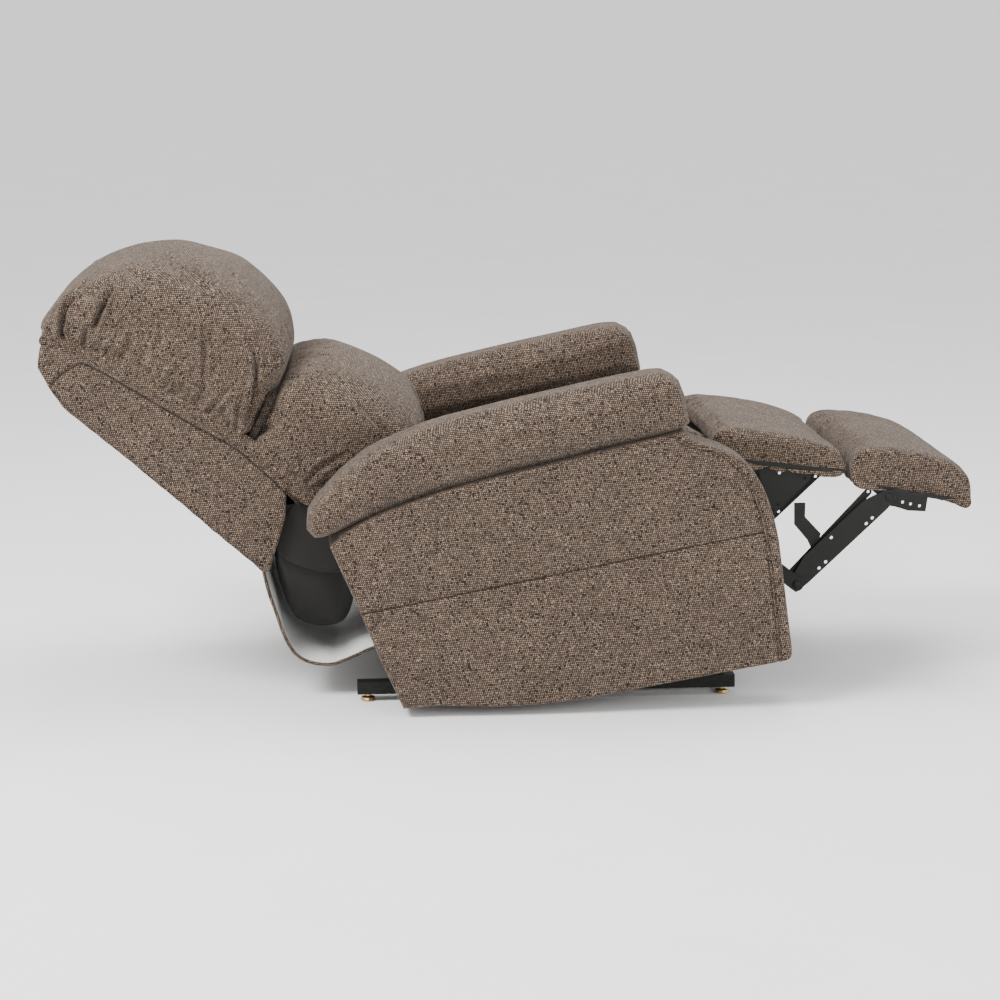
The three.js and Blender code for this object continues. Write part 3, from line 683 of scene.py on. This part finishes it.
# The second value turns the long streaks about Y, so that they lie along the piece.
FABRIC_SEAT = tweed("tweed_side", SEAT_TILT)
FABRIC_ARM = tweed("tweed_arm", math.radians(20.0))
FABRIC_BACK = tweed("tweed_back", BACK_LEAN)
FABRIC_PAD = tweed("tweed_pad", math.radians(-8.0))
# Darker tweed for the backrest's seam cords and the strip between the pillows: painted shade, standing for
# the shadow in those valleys.
SEAM_SHADE_TWEED = tweed("tweed_seam_shade", BACK_LEAN, 0.35)
WELT = tweed("tweed_welt", SEAT_TILT, gain=0.85)
# Near-black cloth for the cord in the side panels' seam groove: painted shade, standing for the shadow in
# the groove.
PAINTED_SEAM_SHADOW = plain_weave("seam_shadow", (0.030, 0.021, 0.016), 1.1, 0.9, 0.0, 0.2)
LINING = plain_weave("lining_cloth", (0.80, 0.81, 0.79), 1.3, 0.78, 0.05, 0.18)
DUST = plain_weave("dust_cloth", (0.018, 0.017, 0.015), 1.2, 0.85, 0.1, 0.25)
BLACK = painted_metal("black_coat", (0.0075, 0.0080, 0.0066), 0.50, 0.0, worn=(0.05, 0.05, 0.045),
                      specular=0.16)
ZINC = painted_metal("zinc_plate", (0.56, 0.57, 0.58), 0.34, 1.0, 260.0, 0.10, (0.75, 0.75, 0.74))
BRASS = painted_metal("brass_plate", (0.50, 0.36, 0.16), 0.30, 1.0, 240.0, 0.08, (0.80, 0.68, 0.40))
WOOD = timber("rail_timber")
PLASTIC = moulded("black_plastic", (0.018, 0.018, 0.019), 0.45)

SLOT_LOOK = {"tweed": FABRIC_SEAT, "lining": LINING, "dark_cloth": DUST, "black_steel": BLACK,
             "zinc_steel": ZINC, "brass": BRASS, "wood": WOOD, "black_plastic": PLASTIC}
for part in frame["record"]["subparts"]:
    node = NODES[part["node"]]
    node.data.materials.clear()
    node.data.materials.append(SLOT_LOOK[part["material_slot"]])


# ---- Outlines shared with the CAD ----
ARM_SEAM = [(-330, 411), (-284, 428), (-213, 449), (-95, 468), (20, 478), (136, 484), (252, 491), (374, 497)]


def panel_outline():
    """The side panel's edge, seat level."""
    top = [(-284, 425)] + [(x, z - 2) for x, z in ARM_SEAM[2:]]
    run = [np.array([(-239, 69), (-262, 158), (-291, 292), (-318, 404)]), spline(top, 8)]
    run.append(bezier((374, 495), (384, 466), (424, 462), (463, 431)))
    run.append(bezier((463, 431), (500, 400), (516, 340), (518, 253)))
    run.append(np.array([(510, 36)]))
    run.append(bezier((510, 36), (509, 26), (503, 20), (494, 20), 6))
    run.append(np.array([(134, 21)]))
    run.append(bezier((134, 21), (20, 22), (-60, 34), (-170, 62)))
    return np.vstack(run)


# ---- Side panels ----
def panel_seams():
    """The seam across the panel and the line of its front border, both seat level."""
    across = spline([(-291, 266), (-200, 267), (0, 270), (250, 274), (492, 277)], 10)
    border = spline([(352, 494), (366, 476), (392, 461), (424, 449), (450, 424), (474, 385), (488, 335),
                     (494, 277), (493, 200), (489, 120), (484, 22)], 10)
    return across, border


def side_panel(side, sign):
    outline = spaced(panel_outline(), 5.0, closed=True)
    across, border = panel_seams()
    ahead = unit(np.roll(outline, -1, axis=0) - np.roll(outline, 1, axis=0))
    inward = np.column_stack([ahead[:, 1], -ahead[:, 0]])
    kept = list(outline)
    rings = [outline + inward * d for d in (1.5, 3.5, 6.5, 10.0)]
    for seam in (across, border):
        even = spaced(seam, 5.0)
        run = unit(np.gradient(even, axis=0))
        off = np.column_stack([-run[:, 1], run[:, 0]])
        rings += [even + off * d for d in (0.0, -1.6, 1.6, -3.6, 3.6, -7.0, 7.0)]
    xs, zs = np.meshgrid(np.arange(-340, 530, 10.0), np.arange(10, 510, 9.0))
    xs[::2] += 5.0
    rings.append(np.column_stack([xs.ravel(), zs.ravel()]))
    inside = polygon_test(outline)
    edge_limit = {0: 1.2, 1: 3.0, 2: 5.8, 3: 9.0}
    taken = {}

    def free(point, gap):
        key = (int(point[0] // 4), int(point[1] // 4))
        for i in (-1, 0, 1):
            for j in (-1, 0, 1):
                for other in taken.get((key[0] + i, key[1] + j), ()):
                    if abs(other[0] - point[0]) < gap and abs(other[1] - point[1]) < gap:
                        return False
        return True

    def take(point):
        taken.setdefault((int(point[0] // 4), int(point[1] // 4)), []).append(point)

    for point in kept:
        take(point)
    for index, ring in enumerate(rings):
        ring = ring[inside(ring)]
        far = distance_to(ring, outline, closed=True)
        ring = ring[far > edge_limit.get(index, 1.4)]
        gap = 1.3 if index < len(rings) - 1 else 3.9
        for point in ring:
            if free(point, gap):
                take(point)
                kept.append(point)
    count = len(outline)
    loop = [(i, (i + 1) % count) for i in range(count)]
    flat, _, faces, *_ = delaunay_2d_cdt([Vector(p) for p in kept], loop, [], 1, 1e-4)
    flat = np.array([tuple(p) for p in flat])
    far = distance_to(flat, outline, closed=True)
    radius = 8.0
    round_off = radius * (1.0 - np.sqrt(np.clip(1.0 - (1.0 - np.clip(far / radius, 0, 1)) ** 2, 0, 1)))
    to_across, to_border = distance_to(flat, across), distance_to(flat, border)
    front = np.array([beyond(p, border) for p in flat])
    groove = 3.6 * np.exp(-(to_across / 2.6) ** 2) + 1.2 * np.exp(-(to_across / 14.0) ** 2)
    groove = np.where(front, 0.0, groove)
    groove = groove + 4.2 * np.exp(-(to_border / 2.6) ** 2) + 0.8 * np.exp(-(to_border / 11.0) ** 2)
    crown = 5.0 * ease(np.minimum(np.minimum(far, to_across), to_border) / 75.0)
    ripple = 0.5 * np.sin(flat[:, 0] / 11.0) * np.exp(-(to_across / 16.0) ** 2)
    ripple += 0.8 * np.sin(flat[:, 0] / 43.0 + 1.3 * np.sin(flat[:, 1] / 60.0)) * ease(far / 40.0)
    outer_y = PANEL_OUTER - 1.0 - round_off - groove + crown + ripple
    inner_y = PANEL_INNER + 0.5 + round_off
    world = level(flat)
    total = len(flat)
    vertices = [upright(world, sign * outer_y), upright(world, sign * inner_y)]
    quads = []
    ring_rows = [list(range(count))]
    rim = level(outline)
    out_dir = level(outline - inward) - rim
    steps = 9
    for k in range(1, steps):
        share = k / steps
        y = (PANEL_OUTER - 9.0) * (1 - share) + (PANEL_INNER + 8.5) * share
        bulge = 2.2 * math.sin(math.pi * share)
        if abs(share - 0.5) < 0.08:
            bulge -= 0.4
        start = 2 * total + (k - 1) * count
        ring_rows.append(list(range(start, start + count)))
        vertices.append(upright(rim + out_dir * bulge, sign * y))
    ring_rows.append([total + i for i in range(count)])
    for upper, lower in zip(ring_rows, ring_rows[1:]):
        for i in range(count):
            j = (i + 1) % count
            quads.append((upper[i], upper[j], lower[j], lower[i]))
    faces_out = [tuple(f) for f in faces]
    faces_in = [tuple(total + i for i in reversed(f)) for f in faces]
    every = faces_out + faces_in + [tuple(reversed(q)) for q in quads]
    piece = new_piece(f"side_panel_cover_{side}", np.vstack(vertices), every, FABRIC_SEAT, "seat")
    tidy_normals(piece)
    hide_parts(f"side_panel_{side}")
    # A thin dark cord sunk in the seam's groove: painted seam shadow.
    seam = upright(level(spaced(across, 6.0)), sign * (PANEL_OUTER - 4.6))
    tube(f"side_seam_shadow_{side}", seam, 0.9, PAINTED_SEAM_SHADOW, "seat", 6)
    welt = upright(level(spaced(border, 6.0)[1:]), sign * (PANEL_OUTER - 1.8))
    tube(f"front_border_welt_{side}", welt, 2.1, WELT, "seat", 8)


def polygon_test(outline):
    """A test for which points lie inside an outline."""
    a, b = outline, np.roll(outline, -1, axis=0)

    def inside(points):
        x, z = points[:, 0][:, None], points[:, 1][:, None]
        crosses = (a[:, 1] > z) != (b[:, 1] > z)
        with np.errstate(divide="ignore", invalid="ignore"):
            at = a[:, 0] + (z - a[:, 1]) * (b[:, 0] - a[:, 0]) / (b[:, 1] - a[:, 1])
        return (np.sum(crosses & (x < at), axis=1) % 2) == 1

    return inside


def beyond(point, line):
    """Whether a point lies in front of the border line."""
    z = line[::-1, 1]
    return point[0] > np.interp(point[1], z, line[::-1, 0])


def tidy_normals(piece):
    work = bmesh.new()
    work.from_mesh(piece.data)
    bmesh.ops.recalc_face_normals(work, faces=work.faces)
    work.to_mesh(piece.data)
    work.free()


for side, sign in SIDES:
    side_panel(side, sign)

# ---- Padded pieces ----
ARM_SETTLE = 10.0
HEAD_BACK = back([(-66, 290), (-110, 552), (-124, 612), (-150, 700)])
LUMBAR_BACK = back([(-66, 258), (-66, 118), (40, 4)])
arm = padded_piece("arm_roll_left", "arm_roll_cover_left", "seat", FABRIC_ARM, inset=4.0, rounds=4, cap=9.0,
                   limit=(275.5, 428.0), proud=1.5)
p = points_of(arm.data)
flat = to_level(p[:, [0, 2]])
height = flat[:, 1] - np.interp(flat[:, 0], [x for x, _ in ARM_SEAM], [z for _, z in ARM_SEAM])
p[:, 2] -= ARM_SETTLE * ease(height / 95.0)
set_points(arm.data, p)
ARM_FOLDS = [([(386, 494), (360, 508), (330, 512)], 3.2, 5.0),
             ([(392, 500), (378, 520), (360, 534)], 2.8, 5.0),
             ([(380, 488), (345, 492), (305, 488)], 2.0, 6.0)]
for path, depth, width in ARM_FOLDS:
    crease(arm, path, 1.0, depth, width, beyond_y=380.0)
mirrored(arm, "arm_roll_cover_right", "arm_roll_right", "seat", FABRIC_ARM)
padded_piece("seat_cushion", "seat_cushion_cover", "seat", FABRIC_PAD, inset=6.0, cap=16.0,
             limit=(-271.0, 271.0))
head = padded_piece("head_pillow", "head_pillow_cover", "backrest", FABRIC_BACK, inset=4.0, rounds=3,
                    cap=10.0, shrink=-0.04, limit=(-276.0, 276.0), squared=(HEAD_BACK, 271.0, 40.0),
                    crowned=(HEAD_BACK, 271.0, 0.19, 0.0, 0.045), uneven=1.6)
lumbar = padded_piece("lumbar_pillow", "lumbar_pillow_cover", "backrest", FABRIC_BACK, inset=4.0, rounds=3,
                      cap=10.0, shrink=-0.04, limit=(-270.0, 270.0), squared=(LUMBAR_BACK, 263.0, 30.0),
                      crowned=(LUMBAR_BACK, 263.0, 0.25, 0.055, 0.0), uneven=1.6)
tuck(head, HEAD_BACK, 12.0)
tuck(lumbar, LUMBAR_BACK, 12.0)
BAND_PATH = back(spline([(-6, 34), (-48, 84), (-64, 130), (-67, 200), (-67, 290), (-92, 430), (-112, 552),
                         (-125, 612), (-144, 676)], 8))
for side, sign in SIDES:
    tube(f"pillow_seam_band_{side}", upright(BAND_PATH, sign * 258.0), 6.0, FABRIC_BACK, "backrest",
         12, squash=3.4)
shell = padded_piece("back_shell", "back_shell_cover", "backrest", FABRIC_BACK, voxel=5.0, rounds=2,
                     swell=False, limit=(-273.0, 273.0), proud=0.8, uneven=0.5)
p = points_of(shell.data)
flat = to_back(p[:, [0, 2]])
flat[:, 0] -= ease((-150.0 - flat[:, 0]) / 50.0) * (5.0 + 7.0 * ease((420.0 - flat[:, 1]) / 300.0))
p[:, [0, 2]] = back(flat)
set_points(shell.data, p)
SHELL_SEAM = [(-204, 621), (-179, 618), (-153, 610), (-134, 600), (-124, 560), (-115, 500), (-105, 430),
              (-92, 351), (-79, 278), (-80, 210), (-83, 151), (-86, 112)]
WRAP_SEAM = SHELL_SEAM[:4]
for side, sign in SIDES:
    crease(shell, back(SHELL_SEAM[3:]), sign, 5.0, 7.0, shoulder=0.1)
    crease(shell, back(WRAP_SEAM), sign, 3.5, 4.5, shoulder=0.1)
shell_tree = tree_of(shell.data)


def shell_seam_shadow(side, sign):
    """A dark cord in the shell's seam, painted shade standing for the shadow in the valley between pillow
    and shell: its depth is found on the shell, and smoothed.
    """
    line = back(spline(SHELL_SEAM, 6))
    inward = Vector((0.0, -sign, 0.0))
    hits = [shell_tree.ray_cast(Vector((x * MM, sign * 0.3, z * MM)), inward)[0] for x, z in line]
    depths = np.array([hit.y / MM if hit is not None else np.nan for hit in hits])
    on_shell = ~np.isnan(depths)
    depths = np.interp(np.arange(len(depths)), np.where(on_shell)[0], depths[on_shell])
    depths = np.convolve(np.pad(depths, 2, mode="edge"), np.full(5, 0.2), mode="valid")
    tube(f"shell_seam_shadow_{side}", upright(line, depths - sign * 0.4), 2.2, SEAM_SHADE_TWEED, "backrest", 8)


for side, sign in SIDES:
    shell_seam_shadow(side, sign)


def joint_strip(path, thick, half):
    """A sewn strip that closes the gap between the two pillows, narrower towards the sides; its darker tweed
    is painted shade in the crease between them.
    """
    line = spline(path, 4)
    lengthwise = unit(np.gradient(line, axis=0))
    across = np.column_stack([-lengthwise[:, 1], lengthwise[:, 0]]) * thick
    ring = np.vstack([line + across, (line - across)[::-1]])
    rows = []
    for y in np.linspace(-half, half, 29):
        aside = abs(y) / half
        keep = 1.0 - 0.26 * aside ** 2.2 - 0.1 * max(0.0, (aside - 0.62) / 0.38) ** 2
        drawn_in = line[0, 0] + (ring[:, 0] - line[0, 0]) * keep
        rows.append(upright(back(np.column_stack([drawn_in, ring[:, 1]])), y))
    piece = new_piece("pillow_joint_strip", np.vstack(rows), ring_faces(len(rows), len(ring)), SEAM_SHADE_TWEED,
                      "backrest")
    tidy_normals(piece)


joint_strip([(-66, 262), (-20, 266), (30, 272), (75, 280), (96, 286)], 7.0, 248.0)
ROLL = back([(-146, 680)])[0]
top_roll = tube("pillow_top_roll", [(ROLL[0], y, ROLL[1]) for y in np.linspace(-260.0, 260.0, 40)], 12.0,
                FABRIC_BACK, "backrest", 16)
mid = padded_piece("mid_pad", "mid_pad_cover", "mid_section", FABRIC_PAD, voxel=5.0, inset=3.0, rounds=3,
                   cap=9.0, limit=(-239.0, 239.0), proud=2.5)
foot = padded_piece("foot_pad", "foot_pad_cover", "foot_section", FABRIC_PAD, voxel=5.0, inset=3.0, rounds=3,
                    cap=9.0, limit=(-251.0, 251.0), proud=2.5)
# Each end that is drawn out: its piece, where it starts and ends in X, and how far it reaches.
PAD_ENDS = ((mid, 430.0, 404.0, -7.0), (mid, 625.0, 655.0, 8.0), (foot, 700.0, 672.0, -8.0),
            (foot, 860.0, 902.0, 5.0))
for piece, near, far, reach in PAD_ENDS:
    p = points_of(piece.data)
    p[:, 0] += reach * ease((p[:, 0] - near) / (far - near))
    set_points(piece.data, p)
p = points_of(foot.data)
p[:, 2] -= 8.0 * ease((p[:, 0] - 868.0) / 30.0) * (1.0 - ease((p[:, 2] - 380.0) / 45.0))
set_points(foot.data, p)
skirt(mid, (414, 464), (656, 436), 237.0, 26.0, 13.0, (False, True))
skirt(foot, (672, 416), (906, 373), 249.0, 22.0, 13.0, (True, True))

# Each fold: its path in X and Z on the pillow's side, its depth and its width.
HEAD_FOLDS = [
    ([(-807, 817), (-826, 793), (-842, 771), (-850, 745), (-851, 720), (-844, 692), (-835, 673)], 21.0, 5.0),
    ([(-755, 809), (-767, 790), (-777, 766), (-789, 739), (-795, 726)], 21.0, 5.5),
    ([(-796, 752), (-808, 719), (-815, 694)], 11.0, 5.0),
    ([(-720, 728), (-728, 700), (-737, 668)], 8.0, 6.0),
    ([(-660, 742), (-668, 705), (-682, 660)], 4.0, 7.0),
    ([(-587, 741), (-585, 698), (-588, 650), (-589, 608)], 9.0, 5.0),
    ([(-493, 697), (-488, 649), (-494, 601), (-505, 553)], 16.0, 4.6),
    ([(-517, 612), (-525, 564), (-534, 516)], 9.0, 5.0),
    ([(-545, 590), (-548, 550), (-545, 515)], 5.0, 6.0)]
LUMBAR_FOLDS = [([(-410, 412), (-375, 455), (-343, 474), (-314, 489)], 7.0, 6.0),
                ([(-354, 374), (-315, 387), (-281, 391), (-258, 388)], 6.0, 6.0),
                ([(-303, 587), (-265, 548), (-233, 509)], 6.0, 6.0),
                ([(-180, 502), (-179, 469), (-177, 434)], 5.0, 7.0),
                ([(-512, 515), (-480, 530), (-445, 555)], 6.0, 6.0)]
SEAM_PUCKERS = 18
FAR_SIDE_SHIFT, FAR_SIDE_DEPTH = 7.0, 0.8
for piece, folds in ((head, HEAD_FOLDS), (lumbar, LUMBAR_FOLDS)):
    for path, depth, width in folds:
        crease(piece, path, -1.0, depth, width)
        crease(piece, [(x + FAR_SIDE_SHIFT, z) for x, z in path], 1.0, depth * FAR_SIDE_DEPTH, width)
draw = np.random.RandomState(4)
for k in range(SEAM_PUCKERS):
    share = (k + draw.uniform(0.1, 0.9)) / SEAM_PUCKERS
    a, b = -68 - 56 * share, 296 + 300 * share
    length, slant, depth = draw.uniform(40, 105), draw.uniform(-6, 22), draw.uniform(2.6, 5.2)
    for sign in (-1.0, 1.0):
        pucker = back([(a - 4, b), (a + length / 2, b + slant / 2), (a + length, b + slant)])
        crease(head, pucker, sign, depth, 5.0)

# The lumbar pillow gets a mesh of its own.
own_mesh(lumbar)


# ---- Back flap ----
FLAP_CURVE = spline([(-484, 262), (-474, 220), (-462, 176), (-448, 126), (-430, 97), (-406, 81), (-373, 70),
                     (-347, 66), (-326, 73), (-308, 84), (-288, 94), (-262, 102)], 6)
DUST_CURVE = spline([(-446, 318), (-447, 300), (-432, 277), (-403, 262), (-374, 254), (-345, 252),
                     (-312, 252)], 6)
# Partly painted shade: the black dust cloth is real, but its bag down into the flap's pouch stands for the
# shade inside the pouch.
DUST_CLOTH_SHADE_BAG = spline([(-446, 318), (-462, 250), (-452, 185), (-425, 118), (-375, 92), (-322, 104), (-300, 180),
                   (-312, 252)], 6)

SHEET_COLUMNS = 56


def hung_points(curve, ys, layer, ripple, bag=None):
    """Points of a sheet that hangs along a curve in X and Z, with a sway that its ends don't have."""
    run = unit(np.gradient(curve, axis=0))
    out = np.column_stack([run[:, 1], -run[:, 0]])
    half = np.abs(ys).max()
    at = np.linspace(0.0, 1.0, len(curve))
    if bag is not None:
        bag = np.column_stack([np.interp(at, np.linspace(0.0, 1.0, len(bag)), bag[:, k]) for k in range(2)])
    rows = []
    for i in range(len(curve)):
        free = math.sin(math.pi * i / (len(curve) - 1))
        sway = ripple * free * np.sin(ys / 46.0 + i * 0.22) * (0.4 + np.abs(ys) / half)
        place = curve[i] + out[i] * (layer + sway[:, None])
        if bag is not None:
            full = np.clip(np.cos(0.5 * np.pi * ys / half), 0.0, 1.0)[:, None] ** 0.6
            place = place + (bag[i] - curve[i]) * full
        rows.append(upright(place, ys))
    return np.array(rows)


def hung_sheet(name, curve, half, offset, thickness, material, ripple, bag=None):
    """A thin closed sheet between the backrest and the seat."""
    ys = np.linspace(-half, half, SHEET_COLUMNS)
    vertices = np.vstack([hung_points(curve, ys, layer, ripple, bag).reshape(-1, 3)
                          for layer in (offset, offset + thickness)])
    piece = new_piece(name, vertices, slab_faces(len(curve), SHEET_COLUMNS), material, None)
    tidy_normals(piece)
    return piece


def across_the_hinge(piece):
    """Bakes the piece's placement into its mesh."""
    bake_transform(piece)


outer_flap = hung_sheet("back_flap_tweed", FLAP_CURVE, FLAP_HALF, 0.2, 1.4, FABRIC_BACK, 3.0)
inner_flap = hung_sheet("back_flap_lining", FLAP_CURVE, FLAP_HALF - 3.0, -1.6, 1.4, LINING, 3.0)
hems = []
for side, sign in SIDES:
    edge = hung_points(FLAP_CURVE, np.array([-FLAP_HALF, FLAP_HALF]), 0.0, 3.0)[:, 1 if sign > 0 else 0]
    hems.append(tube(f"back_flap_hem_{side}", edge, 3.4, FABRIC_BACK, None, 8))
for piece in (outer_flap, inner_flap, *hems):
    across_the_hinge(piece)
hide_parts("back_flap")

DUST_HALF = 240.0
dust = hung_sheet("rear_dust_cloth", DUST_CURVE, DUST_HALF, 0.0, 0.9, DUST, 4.0, DUST_CLOTH_SHADE_BAG)
across_the_hinge(dust)

GUSSET_Y = 248.0
GUSSET_HEM = spline([(-456, 292), (-434, 275), (-404, 261), (-374, 252), (-345, 250), (-306, 250)], 4)


def gusset(name, sign):
    """The dark cloth that closes the side between the backrest and the seat, with a free hem below."""
    rows = np.linspace(0.0, 1.0, 16)
    vertices = []
    for layer in (0.0, 0.8):
        for share in np.linspace(0.0, 1.0, len(GUSSET_HEM)):
            hem = GUSSET_HEM[int(round(share * (len(GUSSET_HEM) - 1)))]
            top = np.array([-410.0 + 104.0 * share, 402.0 + 12.0 * share])
            for down in rows:
                spot = top + (hem - top) * down
                bow = -16.0 * math.sin(math.pi * down) * (1.0 - share)
                wave = 0.7 * math.sin(spot[0] / 13.0 + 2.0 * down) * down
                vertices.append((spot[0] + bow, sign * (GUSSET_Y + layer - 0.4 + wave), spot[1]))
    piece = new_piece(name, vertices, slab_faces(len(GUSSET_HEM), len(rows)), DUST, None)
    tidy_normals(piece)
    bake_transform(piece)


for side, sign in SIDES:
    gusset(f"side_gusset_{side}", sign)


# ---- Hardware ----
def rivet(name, x, y, z, sign, body, sides=24):
    """A low round rivet head on an axis along Y."""
    turn = np.linspace(0, 2 * np.pi, sides, endpoint=False)
    rows = [upright(np.column_stack([x + r * np.cos(turn), z + r * np.sin(turn)]), sign * y + sign * out)
            for r, out in RIVET]
    piece = new_piece(name, np.vstack(rows), ring_faces(len(rows), sides), BLACK, body)
    tidy_normals(piece)


WELT_PATH = back([(-230, 100), (-230, 200), (-230, 400), (-230, 540), (-224, 580), (-208, 626)])
for side, sign in SIDES:
    edge = spaced(spline(WELT_PATH, 8), 6.0)
    spots = [shell_tree.find_nearest(Vector((x, sign * 276.0, z)) * MM)[0] / MM for x, z in edge]
    tube(f"back_welt_{side}", spline([tuple(spot) for spot in spots[::2]], 3), 2.4, WELT, "backrest")

# The rivet head's profile: radius, and distance out from the plate.
RIVET = [(8.5, 0.0), (8.5, 1.2), (7.4, 2.2), (5.0, 2.9), (2.0, 3.2), (0.6, 3.25)]
for side, sign in SIDES:
    rivet(f"knee_rivet_{side}", 558, 256.6, 212, sign, "lower_links")
    rivet(f"tip_rivet_{side}", 738, 252.1, 383, sign, "wide_links")
    rivet(f"pivot_rivet_{side}", 398, 256.6, 337, sign, "lower_links")


# ---- Camera, light and floor ----
def look(piece, right, up, behind, place):
    """Places a camera or a light by its own three directions."""
    turn = Matrix((right, up, behind)).transposed()
    piece.matrix_world = Matrix.Translation(place) @ turn.to_4x4()


camera_data = bpy.data.cameras.new("camera")
camera_data.lens, camera_data.sensor_width = 92.16, 36.0
camera_data.clip_end = 3000.0
camera = bpy.data.objects.new("camera", camera_data)
bpy.context.scene.collection.objects.link(camera)
look(camera, (0.99692, -0.07846, 0.0), (0.01524, 0.19364, 0.98096), (-0.07697, -0.97793, 0.19423),
     (-0.406, -5.087, 1.349))
bpy.context.scene.camera = camera


def area_light(name, place, target, size, power, colour=(1.0, 1.0, 1.0)):
    data = bpy.data.lights.new(name, "AREA")
    data.shape, data.size, data.energy, data.color = "DISK", size, power, colour
    light = bpy.data.objects.new(name, data)
    bpy.context.scene.collection.objects.link(light)
    behind = np.array(place, float) - np.array(target, float)
    behind /= np.linalg.norm(behind)
    right = np.cross([0.0, 0.0, 1.0], behind)
    right /= np.linalg.norm(right)
    look(light, right, np.cross(behind, right), behind, place)


area_light("key", (-2.3, -2.0, 3.4), (0.0, 0.0, 0.4), 1.8, 215.0)
area_light("top", (0.3, 0.6, 3.6), (0.0, 0.0, 0.4), 2.4, 82.0)
area_light("fill", (1.6, -3.6, 1.3), (0.0, 0.0, 0.4), 2.4, 62.0)

world = bpy.data.worlds.new("studio")
world.use_nodes = True
world.node_tree.nodes["Background"].inputs["Color"].default_value = (1.0, 1.0, 1.0, 1.0)
world.node_tree.nodes["Background"].inputs["Strength"].default_value = 1.25
bpy.context.scene.world = world

paper = Graph("studio_paper")
mottle = paper.noise(paper.place(), 3.0, 3.0)
shades = [(0.3, (0.90, 0.90, 0.90)), (0.7, (0.93, 0.93, 0.93))]
paper.set(Base_Color=paper.ramp(mottle, shades), Roughness=0.9)
bpy.ops.mesh.primitive_plane_add(size=2400.0, location=(0.0, 0.0, -0.0005))
floor = bpy.context.object
floor.name = "floor"
floor.data.materials.append(paper.material)
